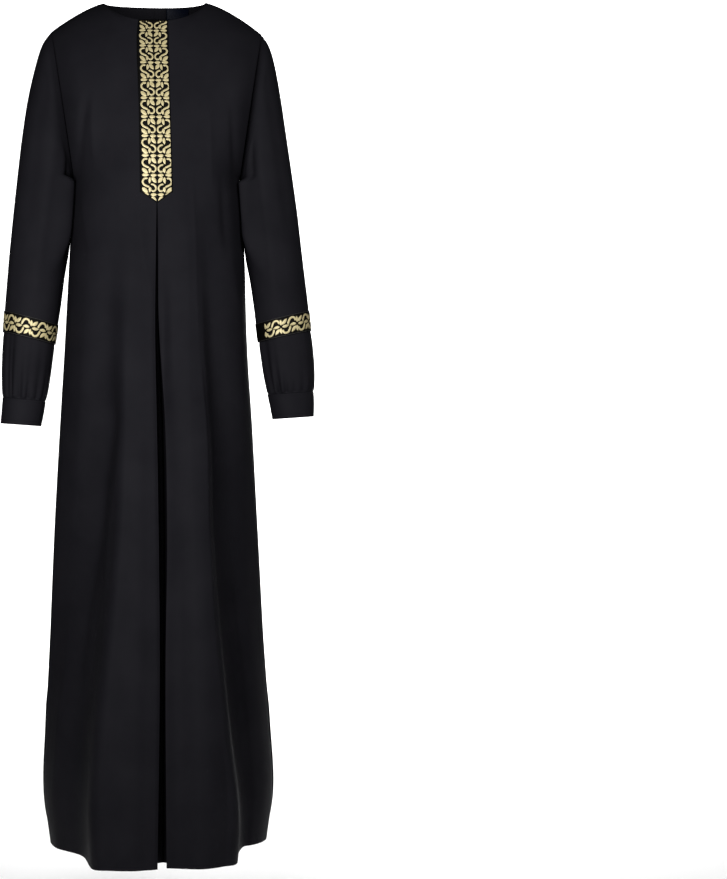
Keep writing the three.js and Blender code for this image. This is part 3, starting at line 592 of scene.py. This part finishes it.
# Gathers of the lower sleeve: degrees round it, start as a share of the way down, depth in mm, width
GATHER_FOLDS = {
    -1: [
        (18, -0.6, 4.2, 7), (43, -0.8, 6.5, 5), (55, -0.5, 7.5, 4.5), (66, -0.3, -2.6, 5),
        (80, 0.3, 5.5, 4.5), (91, 0.0, -2.4, 6), (101, 0.4, 6.5, 5), (126, -0.2, 4.4, 7),
        (150, 0.1, 4.6, 7), (166, 0.55, 4.2, 4), (176, 0.4, 3.6, 5), (203, -0.4, 5.0, 7),
        (229, 0.3, 4.8, 6), (252, -0.2, 5.4, 6), (278, 0.4, 5.0, 5), (300, -0.4, 5.6, 6),
        (324, 0.2, 4.8, 6), (346, 0.0, 4.2, 6),
    ],
    1: [
        (12, 0.2, 3.4, 7), (34, 0.5, 2.6, 6), (60, 0.3, 3.0, 7), (82, 0.6, 3.2, 6), (103, 0.5, 5.2, 5),
        (112, 0.2, -3.2, 6), (121, 0.2, 8.5, 5.5), (133, -0.4, -2.6, 6), (145, -0.9, 11.0, 9),
        (163, 0.1, 4.6, 6), (184, -0.4, 4.8, 7), (208, 0.2, 5.0, 6), (233, -0.3, 5.8, 7),
        (258, 0.4, 4.8, 6), (284, -0.4, 5.8, 7), (310, 0.3, 4.8, 6), (337, 0.0, 4.4, 6),
    ],
}


def ring(row, side, angles):
    outer_x, outer_z, inner_x, inner_z, half_depth, middle_y = np.asarray(row, float) * MM
    share = (1 - np.cos(angles)) / 2
    x = outer_x + (inner_x - outer_x) * share
    z = outer_z + (inner_z - outer_z) * share
    return np.stack([side * x, middle_y - half_depth * np.sin(angles), z], -1)


def armhole_ring(side, angles):
    front = armhole(np.minimum(angles, math.pi), "front", side)
    back = armhole(2 * math.pi - np.maximum(angles, math.pi), "back", side)
    return np.where((angles <= math.pi)[:, None], front, back)


def tube(rings, rows):
    """Cloth through a list of rings, with a row of points at each place counted in rings."""
    return smooth_through(np.arange(len(rings)), np.stack(rings), rows)


def fold_window(at, start, end):
    """Rises from nothing at the start of a fold and falls away at its end."""
    return eased((at - start) / FOLD_EASE) * eased((end - at) / FOLD_EASE)


def around(angle, middle):
    return (angle - middle + 180) % 360 - 180


def pressed_to_body(points, side, degrees):
    """Below the underarm the sleeve stays off the body, but its inner front lies against the flank."""
    x, y, z = side * points[..., 0], points[..., 1], points[..., 2]
    half, front, middle = (section(name, z) for name in (side_name(side), "front", "side"))
    forward_share = np.clip((middle - y) / (middle - front), 0, 0.95)
    flank = half * (1 - forward_share**SECTION_ROUNDNESS) ** (1 / SECTION_ROUNDNESS)
    inner_front = eased((degrees - SLEEVE_PRESS[0]) / (SLEEVE_PRESS[1] - SLEEVE_PRESS[0])) * (y < middle)
    inner_front = inner_front * (degrees < SLEEVE_BACK) * fall(z, PRESS_STARTS) * (1 - fall(z, PRESS_ENDS))
    x = x + inner_front * (np.minimum(x, flank) - x)
    below = z < UNDERARM_Z
    return np.where(below, side * np.maximum(x, flank + SLEEVE_OFF_BODY * (1 - inner_front)), points[..., 0])


def sleeve_points(side):
    angles = np.linspace(0, 2 * math.pi, SLEEVE_COLUMNS + 1)
    tables = SLEEVES[side]
    rings = [armhole_ring(side, angles)]
    rings += [ring(row, side, angles) for row in tables["rings"] + tables["band"]]
    rows = np.unique(np.concatenate([np.linspace(0, 0.3, 6), np.linspace(0.3, len(rings) - 1, 100)]))
    points = tube(rings, rows)
    degrees = np.degrees(angles)[None, :]
    points[..., 0] = pressed_to_body(points, side, degrees)
    normal = normals_of(points, -side)
    place = rows[:, None]
    lift = np.zeros(points.shape[:2])
    for middle, start, end, drift, height, width in SLEEVE_FOLDS[side]:
        line = middle + drift * (place - start) / (end - start)
        lift += height * MM * bell(around(degrees, line), width) * fold_window(place, start, end)
    from_armhole = length_along(points, 0, "first")
    lift *= 1 - bell(from_armhole, ARMHOLE_CALM["sleeve"])
    depth, width = SEAM_GROOVE
    lift -= depth * bell(from_armhole, width)
    lift *= eased((len(rings) - 1.9 - place) / 0.6) * 0.999 + 0.001
    return points + normal * lift[..., None]


LOWER_ROWS = 44
LOWER_COLUMNS = 180
PUFF = 1.6 * MM
# Share of the gathers' depth taken away at the cuff's seam, where down the piece that starts, and its length
STITCHED_FLAT = (0.93, 0.945, 0.05)
GATHER_DEPTH = 0.62
# Depth of the groove at each end, and its width as a share of the piece
CUFF_GROOVE = (1.0 * MM, 0.06)
BAND_GROOVE = (0.8 * MM, 0.05)


def lower_sleeve_points(side):
    angles = np.linspace(0, 2 * math.pi, LOWER_COLUMNS + 1)
    tables = SLEEVES[side]
    rings = [ring(row, side, angles) for row in [tables["band"][1], *tables["lower"], tables["cuff"][0]]]
    rows = np.unique(np.concatenate([np.linspace(0, 3.4, LOWER_ROWS), np.linspace(3.4, 4, 10)]))
    points = tube(rings, rows)
    normal = normals_of(points, -side)
    degrees = np.degrees(angles)[None, :]
    down = (rows / rows[-1])[:, None]
    lift = PUFF * np.sin(math.pi * np.clip(down, 0, 1)) * np.ones_like(degrees)
    share, start, over = STITCHED_FLAT
    stitched_flat = 1 - share * eased((down - start) / over)
    for middle, start, depth, width in GATHER_FOLDS[side]:
        deepening = eased((down - start) / (1 - start)) * stitched_flat
        narrow = width * (1.5 - 0.6 * down)
        fold = bell(around(degrees, middle), narrow) * (0.12 + 0.88 * deepening)
        lift -= GATHER_DEPTH * depth * MM * fold
    depth, width = CUFF_GROOVE
    lift -= depth * bell(1 - down, width)
    depth, width = BAND_GROOVE
    lift -= depth * bell(down, width)
    return points + normal * lift[..., None]


CUFF_COLUMNS = 96
CUFF_STITCH = (0.35 * MM, 5 * MM, 0.9 * MM)
CUFF_SHELL = 1.6 * MM
CUFF_EDGES = ((0.7 * MM, 1.2 * MM), (0.5 * MM, 1.0 * MM))
CUFF_WANDER = 0.5 * MM


def cuff_points(side):
    angles = np.linspace(0, 2 * math.pi, CUFF_COLUMNS + 1)
    steps = [np.linspace(0, 0.16, 6), np.linspace(0.16, 0.84, 16), np.linspace(0.84, 1, 7)]
    rows = np.unique(np.concatenate(steps))
    points = tube([ring(row, side, angles) for row in SLEEVES[side]["cuff"]], rows)
    normal = normals_of(points, -side)
    from_top = length_along(points, 0, "first")
    from_bottom = length_along(points, 0, "last")
    depth, inset, width = CUFF_STITCH
    lift = -depth * (bell(from_bottom - inset, width) + bell(from_top - inset, width))
    for from_edge, (depth, width) in zip((from_top, from_bottom), CUFF_EDGES):
        lift -= depth * bell(from_edge, width)
    wander = np.sin(3 * angles + side)[None, :] * np.sin(math.pi * rows)[:, None]
    lift += CUFF_WANDER * wander
    return points + normal * lift[..., None]


# Ribbons and their woven motifs
TRIM_EDGES = np.array([
    (-40, -29.0, 16.0, -4.6), (-62, -31.2, 17.0, -5.2), (-100, -31.4, 17.9, -4.2), (-140, -29.8, 18.9, -2.2),
    (-188, -28.2, 20.2, -1.4), (-250, -27.0, 22.0, 0.8), (-310, -26.2, 23.6, 1.6), (-350, -25.8, 24.2, 1.8),
]) * MM
TRIM_TOP = -40.5 * MM
GOLD_TOP = -43.5 * MM
TRIM_MARGIN = 1.6 * MM
TRIM_TIP = (0.5 * MM, -349 * MM)
TRIM_ROWS = np.array([-16.5, -43.5, -70, -97, -127, -157.5, -188, -220, -252, -285, -317, -349]) * MM
TRIM_PITCH = 27.5
TRIM_ASIDE = -1.3
TRIM_GRID = (170, 25)
CENTRE_BRIDGED = 4 * MM
SLOPE_STEP = 2 * MM
# Strokes and leaves of one row: kind, width, points from the pattern's centre and down from the row's start
TRIM_MOTIFS = [
    ("stroke", 2.5, [(-9.8, 2.2), (-5.6, 3.2), (-2.3, 6.3), (-2.3, 9.8), (-4.9, 12.2), (-9.0, 11.2)]),
    ("leaf", 4.3, [(-11.3, 6.2), (-10.9, 10.0), (-11.8, 14.1)]),
    ("leaf", 5.5, [(-22.9, 6.9), (-18.8, 10.7), (-13.6, 14.2)]),
    ("leaf", 4.8, [(-23.2, 16.8), (-17.4, 16.5), (-12.2, 16.8)]),
    ("leaf", 4.5, [(-10.2, 16.8), (-5.3, 17.2), (-0.4, 17.0)]),
    ("leaf", 4.2, [(-11.2, 19.7), (-11.1, 24.2), (-12.3, 29.2)]),
    ("leaf", 5.6, [(-8.2, 19.5), (-5.0, 23.6), (-1.3, 28.0)]),
    ("stroke", 2.8, [(-14.3, 21.5), (-19.4, 21.9), (-22.3, 26.0), (-20.4, 30.1), (-16.4, 32.2),
                     (-11.9, 34.1)]),
]
BAND_PITCH = 29.3 * MM
BAND_MOTIFS = [
    ("leaf", 4.7, [(0.3, -2.2), (0.7, -7.5), (-0.2, -13.0)]),
    ("leaf", 5.5, [(2.4, -3.4), (7.2, -8.1), (11.3, -12.8)]),
    ("leaf", 5.1, [(2.0, 0.3), (8.2, 0.5), (14.2, -0.7)]),
    ("stroke", 3.5, [(12.6, -2.0), (14.6, -7.3), (18.3, -11.9), (23.0, -12.2), (26.2, -9.1), (26.2, -5.6)]),
]
BAND_WIDTH = 36 * MM
BAND_EDGE_LINES = (-17 * MM, 17 * MM * 0.97)
BAND_JOINS = {-1: (200, 212), 1: (141, 186)}
BAND_LOWER = 2.8
CORD_STEPS = 180
CORD_PROFILE = ((-0.45, 0), (0, 1), (0.45, 0))
BAND_STARTS = {-1: -0.2356, 1: 0.2078}
LINE_HEIGHT = 0.35 * MM
MOTIF_STEPS = 9
# Across a strip: share of its half width, and share of its height
STRIP_PROFILE = ((-1, 0.15), (-0.5, 0.85), (0, 1.0), (0.5, 0.85), (1, 0.15))
SHOWN_SHARE = 0.2
MOTIF_ROW_APART = 1000.0


def strip_rows(kind, width, path):
    """Middle points and half widths along a leaf or a stroke, in millimetres."""
    path = np.array(path, float)
    steps = MOTIF_STEPS if kind == "leaf" else 2 * MOTIF_STEPS
    knots = np.concatenate([[0], np.cumsum(np.linalg.norm(np.diff(path, axis=0), axis=1))])
    at = np.linspace(0, knots[-1], steps + 1)
    middle = smooth_through(knots, path, at)
    share = at / knots[-1]
    if kind == "leaf":
        half = width / 2 * np.sin(math.pi * share**0.85) ** 0.75
    else:
        from_end = np.minimum(at, knots[-1] - at) / (width / 2)
        half = width / 2 * np.sqrt(np.clip(1 - (1 - np.clip(from_end, 0, 1)) ** 2, 0.03, 1))
    along = np.gradient(middle, axis=0)
    along /= np.linalg.norm(along, axis=1, keepdims=True)
    across = np.stack([-along[:, 1], along[:, 0]], 1)
    return middle, across * half[:, None]


def motif_object(name, strips, place, material):
    """Many raised strips, each placed on the ribbon by a function of flat position and height."""
    points, faces = [], []
    for middle, across in strips:
        first = len(points)
        for m, a in zip(middle, across):
            points.extend(tuple(place(m + share * a, height)) for share, height in STRIP_PROFILE)
        for k in range(len(middle) - 1):
            for j in range(4):
                a = first + 5 * k + j
                faces.append((a, a + 1, a + 6, a + 5))
    return new_object(name, points, faces, material)


def surface_finder(fronts):
    """Finds the front's depth at x and z, on the grids of the two front panels."""
    points, faces = [], []
    for grid, present in fronts:
        faces.extend(faces_between(present, len(points)).tolist())
        points.extend(grid[present].tolist())
    tree = BVHTree.FromPolygons(points, faces)

    def find(x, z):
        if abs(x) < CENTRE_BRIDGED:
            before, after = find(-CENTRE_BRIDGED, z), find(CENTRE_BRIDGED, z)
            return before + (after - before) * (x + CENTRE_BRIDGED) / (2 * CENTRE_BRIDGED)
        hit = tree.ray_cast(Vector((x, -1, z)), Vector((0, 1, 0)))
        return hit[0].y if hit[0] is not None and hit[0].y < 0 else math.nan

    return find


class FrontSurface:
    """Depth of the front near the centre as a table over x and z, with its normal."""

    def __init__(self, find):
        self.x = np.linspace(-36, 32, 69) * MM
        self.z = np.linspace(-356, -40, 159) * MM
        self.y = np.array([[find(x, z) for x in self.x] for z in self.z])
        for row in self.y:
            bad = np.isnan(row)
            if bad.any() and not bad.all():
                row[bad] = np.interp(self.x[bad], self.x[~bad], row[~bad])
        for k in range(len(self.z) - 2, -1, -1):
            if np.isnan(self.y[k]).all():
                self.y[k] = self.y[k + 1]
        for k in range(1, len(self.z)):
            if np.isnan(self.y[k]).all():
                self.y[k] = 2 * self.y[k - 1] - self.y[k - 2]

    def depth(self, x, z):
        i = np.clip((z - self.z[0]) / (self.z[1] - self.z[0]), 0, len(self.z) - 1.001)
        j = np.clip((x - self.x[0]) / (self.x[1] - self.x[0]), 0, len(self.x) - 1.001)
        i0, j0 = int(i), int(j)
        fi, fj = i - i0, j - j0
        top = self.y[i0, j0] * (1 - fj) + self.y[i0, j0 + 1] * fj
        low = self.y[i0 + 1, j0] * (1 - fj) + self.y[i0 + 1, j0 + 1] * fj
        return top * (1 - fi) + low * fi

    def point(self, x, z, lift):
        step = SLOPE_STEP
        slope_x = (self.depth(x + step, z) - self.depth(x - step, z)) / (2 * step)
        slope_z = (self.depth(x, z + step) - self.depth(x, z - step)) / (2 * step)
        normal = np.array([slope_x, -1, slope_z])
        normal /= np.linalg.norm(normal)
        return np.array([x, self.depth(x, z), z]) + normal * lift


def trim_row(z):
    """The ribbon's left and right edges and the pattern's centre at a height."""
    return [float(smooth_through(-TRIM_EDGES[:, 0], TRIM_EDGES[:, k], -z)) for k in (1, 2, 3)]


def trim_bottom(x):
    left, right = trim_row(TRIM_CORNER_Z)[:2]
    tip_x, tip_z = TRIM_TIP
    end = left if x < tip_x else right
    return tip_z + (TRIM_CORNER_Z - tip_z) * min(abs((x - tip_x) / (end - tip_x)), 1.0)


def trim_ground(surface, material):
    rows, columns = TRIM_GRID
    points = np.zeros((rows, columns, 3))
    for i in range(rows):
        down = i / (rows - 1)
        for j in range(columns):
            z = TRIM_TOP
            for _ in range(3):
                left, right = trim_row(z)[:2]
                x = left - TRIM_MARGIN + (right - left + 2 * TRIM_MARGIN) * j / (columns - 1)
                z = TRIM_TOP + (trim_bottom(x) - TRIM_MARGIN - TRIM_TOP) * down
            points[i, j] = surface.point(x, z, RIBBON_TOP)
    return grid_object("trim_ground", points, 1, material, RIBBON_SHELL)


def trim_motifs(surface, material):
    strips = []
    for k in range(len(TRIM_ROWS) - 1):
        for kind, width, path in TRIM_MOTIFS:
            for mirror in (-1, 1):
                middle, across = strip_rows(kind, width, [(-mirror * u, v) for u, v in path])
                strips.append((middle + np.array([0, MOTIF_ROW_APART * k]), across))

    def flat(place):
        k = int((place[1] + MOTIF_ROW_APART / 10) // MOTIF_ROW_APART)
        v = k + (place[1] - MOTIF_ROW_APART * k) / TRIM_PITCH
        z = float(np.interp(v, np.arange(len(TRIM_ROWS)), TRIM_ROWS))
        left, right, centre = trim_row(z)
        scale = float(np.interp(-z, [0.045, 0.25], [0.97, 1.07]))
        return centre + (place[0] * scale + TRIM_ASIDE) * MM, z, left, right

    def place(position, height):
        x, z, left, right = flat(position)
        x = min(max(x, left), right)
        z = min(max(z, trim_bottom(x) + 0.4 * MM), GOLD_TOP)
        return surface.point(x, z, RIBBON_TOP + height * LINE_HEIGHT)

    def shows(middle):
        x, z, left, right = flat(middle)
        inside = left - 0.5 * MM < x < right + 0.5 * MM
        return inside and trim_bottom(min(max(x, left), right)) < z < GOLD_TOP + 0.5 * MM

    kept = [strip for strip in strips if sum(shows(m) for m in strip[0]) > SHOWN_SHARE * len(strip[0])]
    return motif_object("trim_motifs", kept, place, material)


class BandSurface:
    """Places a flat position on the ribbon round a sleeve: along it and down from its middle."""

    def __init__(self, side):
        self.side = side
        self.angles = np.linspace(0, 2 * math.pi, 721)
        self.top, self.bottom = (np.array(row, float) for row in SLEEVES[side]["band"])
        self.middle = ring((self.top + self.bottom) / 2, side, self.angles)
        steps = np.linalg.norm(np.diff(self.middle, axis=0), axis=1)
        self.length = np.concatenate([[0], np.cumsum(steps)])
        self.total = self.length[-1]
        front = self.angles <= math.pi
        order = np.argsort(self.middle[front, 0])
        start = BAND_STARTS[side]
        self.start = float(np.interp(start, self.middle[front, 0][order], self.length[front][order]))

    def angle(self, along):
        s = (self.start - self.side * along) % self.total
        return float(np.interp(s, self.length, self.angles))

    def point(self, along, down, lift):
        angle = self.angle(along)
        share = 0.5 + down / BAND_WIDTH
        angles = np.array([angle - 0.01, angle, angle + 0.01])
        rows = [ring(self.top + (self.bottom - self.top) * s, self.side, angles)
                for s in (share - 0.02, share, share + 0.02)]
        normal = np.cross(rows[2][1] - rows[0][1], rows[1][2] - rows[1][0]) * -self.side
        normal /= np.linalg.norm(normal)
        return rows[1][1] + normal * lift


def band_ground(side, material):
    angles = np.linspace(0, 2 * math.pi, 145)
    rows = np.linspace(0.004, 0.985, 20) + BAND_LOWER * MM / BAND_WIDTH
    top, bottom = (np.array(row, float) for row in SLEEVES[side]["band"])
    points = np.stack([ring(top + (bottom - top) * s, side, angles) for s in rows])
    normal = normals_of(points, -side)
    points = points + normal * RIBBON_TOP
    return grid_object(f"band_ground_{side_name(side)}", points, -side, material, RIBBON_SHELL)


def band_motifs(side, material):
    surface = BandSurface(side)
    count = round(surface.total / BAND_PITCH)
    stretch = surface.total / (count * BAND_PITCH)
    join = BAND_JOINS[side]
    strips = []
    for k in range(count):
        for kind, width, path in BAND_MOTIFS:
            for turn in (1, -1):
                middle, across = strip_rows(kind, width, [(turn * a, turn * c) for a, c in path])
                middle = middle + np.array([k * BAND_PITCH / MM, 0])
                degrees = math.degrees(surface.angle(middle[:, 0].mean() * MM * stretch))
                if not join[0] < degrees < join[1]:
                    strips.append((middle, across))

    def place(position, height):
        lift = RIBBON_TOP + height * LINE_HEIGHT
        return surface.point(position[0] * MM * stretch, (position[1] + BAND_LOWER) * MM, lift)

    return motif_object(f"band_motifs_{side_name(side)}", strips, place, material)


def band_lines(side, material):
    """The fine cords along both edges of the ribbon."""
    surface = BandSurface(side)
    points, faces = [], []
    for edge in BAND_EDGE_LINES:
        first = len(points)
        for k in range(CORD_STEPS):
            along = surface.total * k / CORD_STEPS
            for across, height in CORD_PROFILE:
                down = edge + (across + BAND_LOWER) * MM
                points.append(tuple(surface.point(along, down, RIBBON_TOP + height * LINE_HEIGHT)))
        for k in range(CORD_STEPS):
            for j in range(2):
                here = first + 3 * k + j
                after = first + 3 * ((k + 1) % CORD_STEPS) + j
                faces.append((here, here + 1, after + 1, after))
    return new_object(f"band_lines_{side_name(side)}", points, faces, material)


LABEL_SHARES = (0.14, 0.415)
LABEL_ANGLE = math.pi / 8


def label_points():
    shares = np.linspace(*LABEL_SHARES, 21)
    angles = np.linspace(0.35 * LABEL_ANGLE, 1.35 * LABEL_ANGLE, 13)
    points = bodice("back", 1, shares[None, :], angles[:, None])
    normal = normals_of(points, -1)
    return points - normal * (SHELL + LABEL_CLEAR)


# Materials
def shader(name, **values):
    material = bpy.data.materials.new(name)
    material.use_nodes = True
    surface = material.node_tree.nodes["Principled BSDF"]
    for key, value in values.items():
        surface.inputs[key.replace("_", " ")].default_value = value
    return material, material.node_tree, surface


def join(tree, surface, colour, normal, roughness):
    for name, socket in (("Base Color", colour), ("Normal", normal), ("Roughness", roughness)):
        if socket is not None:
            tree.links.new(socket, surface.inputs[name])


def place_coordinates(tree):
    return tree.nodes.new("ShaderNodeTexCoord").outputs["Object"]


def noise(tree, coordinates, scale, detail=3.0, rough=0.55):
    node = tree.nodes.new("ShaderNodeTexNoise")
    node.inputs["Scale"].default_value = scale
    node.inputs["Detail"].default_value = detail
    node.inputs["Roughness"].default_value = rough
    tree.links.new(coordinates, node.inputs["Vector"])
    return node.outputs["Fac"]


def ramp(tree, value, low, high, colours):
    node = tree.nodes.new("ShaderNodeValToRGB")
    node.color_ramp.elements[0].position = low
    node.color_ramp.elements[1].position = high
    node.color_ramp.elements[0].color = (*colours[0], 1)
    node.color_ramp.elements[1].color = (*colours[1], 1)
    tree.links.new(value, node.inputs["Fac"])
    return node.outputs["Color"]


def bump(tree, height, distance, strength, before=None):
    node = tree.nodes.new("ShaderNodeBump")
    node.inputs["Distance"].default_value = distance
    node.inputs["Strength"].default_value = strength
    tree.links.new(height, node.inputs["Height"])
    if before is not None:
        tree.links.new(before, node.inputs["Normal"])
    return node.outputs["Normal"]


def to_range(tree, value, low, high):
    node = tree.nodes.new("ShaderNodeMapRange")
    node.inputs["To Min"].default_value = low
    node.inputs["To Max"].default_value = high
    tree.links.new(value, node.inputs["Value"])
    return node.outputs["Result"]


def stretched(tree, coordinates, scale):
    node = tree.nodes.new("ShaderNodeMapping")
    node.inputs["Scale"].default_value = scale
    tree.links.new(coordinates, node.inputs["Vector"])
    return node.outputs["Vector"]


def crepe_material():
    material, tree, surface = shader("crepe", Specular_IOR_Level=0.03)
    place = place_coordinates(tree)
    cloud = noise(tree, place, 14, 3)
    colour = ramp(tree, cloud, 0.3, 0.7, ((0.0082, 0.0079, 0.0101), (0.0105, 0.0101, 0.0126)))
    grain = noise(tree, stretched(tree, place, (1, 1, 0.45)), 1500, 2, 0.6)
    slub = noise(tree, stretched(tree, place, (1, 1, 0.12)), 420, 3, 0.6)
    ripple = noise(tree, place, 45, 3, 0.5)
    normal = bump(tree, ripple, 0.0012, 0.16)
    normal = bump(tree, slub, 0.0002, 0.35, normal)
    normal = bump(tree, grain, 0.0002, 0.45, normal)
    join(tree, surface, colour, normal, to_range(tree, grain, 0.56, 0.74))
    return material


# Plain weaves: specular level, stretch and scale of the grain, where its two colours lie, the colours, the
# bump's depth, and the roughness from low to high
WEAVES = {
    "ribbon_ground": (0.08, (1, 1, 2.5), 1300, (0.35, 0.75),
                      ((0.0004, 0.0003, 0.0003), (0.002, 0.0015, 0.0008)), 0.0002, (0.5, 0.75)),
    "edge_cord": (0.35, (1, 1, 1), 900, (0.35, 0.7),
                  ((0.006, 0.006, 0.007), (0.03, 0.028, 0.026)), 0.0002, (0.45, 0.65)),
    "label_satin": (0.1, (0.3, 1, 1), 1600, (0.35, 0.7),
                    ((0.0011, 0.002, 0.0062), (0.0026, 0.0042, 0.0125)), 0.0001, (0.35, 0.5)),
}


def weave_material(name):
    specular, stretch, scale, places, colours, depth, roughness = WEAVES[name]
    material, tree, surface = shader(name, Specular_IOR_Level=specular)
    grain = noise(tree, stretched(tree, place_coordinates(tree), stretch), scale, 2)
    colour = ramp(tree, grain, *places, colours)
    join(tree, surface, colour, bump(tree, grain, depth, 0.5), to_range(tree, grain, *roughness))
    return material


GOLDS = (((0.34, 0.275, 0.115), (0.62, 0.53, 0.28)), ((0.41, 0.34, 0.15), (0.72, 0.64, 0.39)))


def gold_material():
    material, tree, surface = shader("gold_thread", Metallic=0.25, Specular_IOR_Level=0.6)
    place = place_coordinates(tree)
    thread = noise(tree, stretched(tree, place, (1, 1, 0.6)), 1700, 2, 0.7)
    patch = noise(tree, place, 160, 2)
    mixer = tree.nodes.new("ShaderNodeMix")
    mixer.data_type = "RGBA"
    colour_inputs = [socket for socket in mixer.inputs if socket.type == "RGBA"]
    tree.links.new(patch, mixer.inputs["Factor"])
    for socket, colours in zip(colour_inputs, GOLDS):
        tree.links.new(ramp(tree, thread, 0.3, 0.7, colours), socket)
    mixed = next(socket for socket in mixer.outputs if socket.type == "RGBA")
    join(tree, surface, mixed, bump(tree, thread, 0.0003, 0.6), to_range(tree, thread, 0.32, 0.52))
    return material


def floor_material():
    material, tree, surface = shader("pale_floor", Specular_IOR_Level=0.1, Emission_Strength=0.12,
                                     Emission_Color=(1, 1, 1, 1))
    place = place_coordinates(tree)
    cloud = noise(tree, place, 1.5, 2)
    colour = ramp(tree, cloud, 0.2, 0.8, ((0.89, 0.89, 0.89), (0.92, 0.92, 0.92)))
    join(tree, surface, colour, None, to_range(tree, cloud, 0.75, 0.85))
    return material


# Pieces
def dress(piece, node):
    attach(piece, "root")
    if node:
        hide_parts(node)


def build():
    crepe, gold = crepe_material(), gold_material()
    ground, cord, label = (weave_material(name) for name in WEAVES)
    fronts = []
    for side in (-1, 1):
        for panel in ("front", "back"):
            points, present, outward = panel_points(panel, side)
            if panel == "front":
                fronts.append((points, present))
            name = f"{panel}_{side_name(side)}"
            piece = grid_object(f"cloth_{name}", points, outward, crepe, SHELL, present)
            dress(piece, name)
        for part, points, thickness in (
            ("sleeve", sleeve_points(side), SHELL),
            ("lower_sleeve", lower_sleeve_points(side), SHELL),
            ("cuff", cuff_points(side), CUFF_SHELL),
        ):
            name = f"{part}_{side_name(side)}"
            piece = grid_object(f"cloth_{name}", points, -side, crepe, thickness)
            dress(piece, name)
        ribbon = band_ground(side, ground)
        dress(ribbon, f"sleeve_band_{side_name(side)}")
        details = [band_motifs(side, gold), band_lines(side, cord)]
        for piece in details:
            dress(piece, None)

    surface = FrontSurface(surface_finder(fronts))
    ribbon = trim_ground(surface, ground)
    dress(ribbon, "front_trim")
    motifs = trim_motifs(surface, gold)
    dress(motifs, None)

    points = label_points()
    tag = grid_object("label_cloth", points, -1, label, LABEL_SHELL)
    dress(tag, "neck_label")


# Studio
FLOOR_Z = -1.56
# The floor's sweep up into the wall: y, height over the floor, and how far it reaches to -X and +X
FLOOR_PROFILE = [
    (-0.3, 0, -1.1, 1.3), (0.4, 0, -1.1, 1.5), (1.6, 0, -0.95, 1.8), (3.2, 0, -0.9, 2.2),
    (5.0, 0.08, -0.9, 2.55), (6.1, 0.45, -0.9, 2.8), (6.35, 1.2, -0.95, 2.85), (6.4, 3.6, -0.95, 2.85),
]
CAMERA_PLACE = (0, -4.0, -0.740)
CAMERA_YAW = -5.035
LENS = 95.99
SENSOR_WIDTH = 36
WORLD_STRENGTH = 0.04
LIGHTS = [
    ("key", (-0.42, -1.35, -0.46), (0, 0, -0.38), 1.0, 23),
    ("fill", (1.8, -1.9, 0.7), (0.1, 0, -0.05), 1.6, 36),
    ("wall", (0.9, 3.7, 1.0), (0.9, 6.2, -0.7), 2.4, 270),
    ("floor", (0.4, 1.7, 0.0), (0.4, 2.1, -1.56), 2.2, 50),
]


def stage_floor():
    at = np.linspace(0, len(FLOOR_PROFILE) - 1, 60)
    profile = smooth_through(np.arange(len(FLOOR_PROFILE)), np.array(FLOOR_PROFILE, float), at)
    across = np.array([0, 0.5, 1])
    points = np.stack([
        np.stack([low + (high - low) * across, np.full(3, y), np.full(3, FLOOR_Z + z)], -1)
        for y, z, low, high in profile
    ])
    floor = grid_object("floor", points, -1, floor_material(), 0)


def aim(thing, target):
    direction = Vector(target) - thing.location
    thing.rotation_euler = direction.to_track_quat("-Z", "Y").to_euler()


def studio():
    scene = bpy.context.scene
    stage_floor()
    for name, place, target, size, power in LIGHTS:
        lamp = bpy.data.lights.new(name, "AREA")
        lamp.shape = "DISK"
        lamp.size = size
        lamp.energy = power
        thing = bpy.data.objects.new(name, lamp)
        thing.location = place
        aim(thing, target)
        scene.collection.objects.link(thing)
    world = bpy.data.worlds.new("studio")
    world.use_nodes = True
    background = world.node_tree.nodes["Background"]
    background.inputs["Color"].default_value = (1, 1, 1, 1)
    background.inputs["Strength"].default_value = WORLD_STRENGTH
    scene.world = world
    lens = bpy.data.cameras.new("camera")
    lens.lens = LENS
    lens.sensor_width = SENSOR_WIDTH
    camera = bpy.data.objects.new("camera", lens)
    camera.location = CAMERA_PLACE
    camera.rotation_euler = (math.radians(90), 0, math.radians(CAMERA_YAW))
    scene.collection.objects.link(camera)
    scene.camera = camera
    scene.view_settings.view_transform = "Standard"


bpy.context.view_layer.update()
build()
studio()
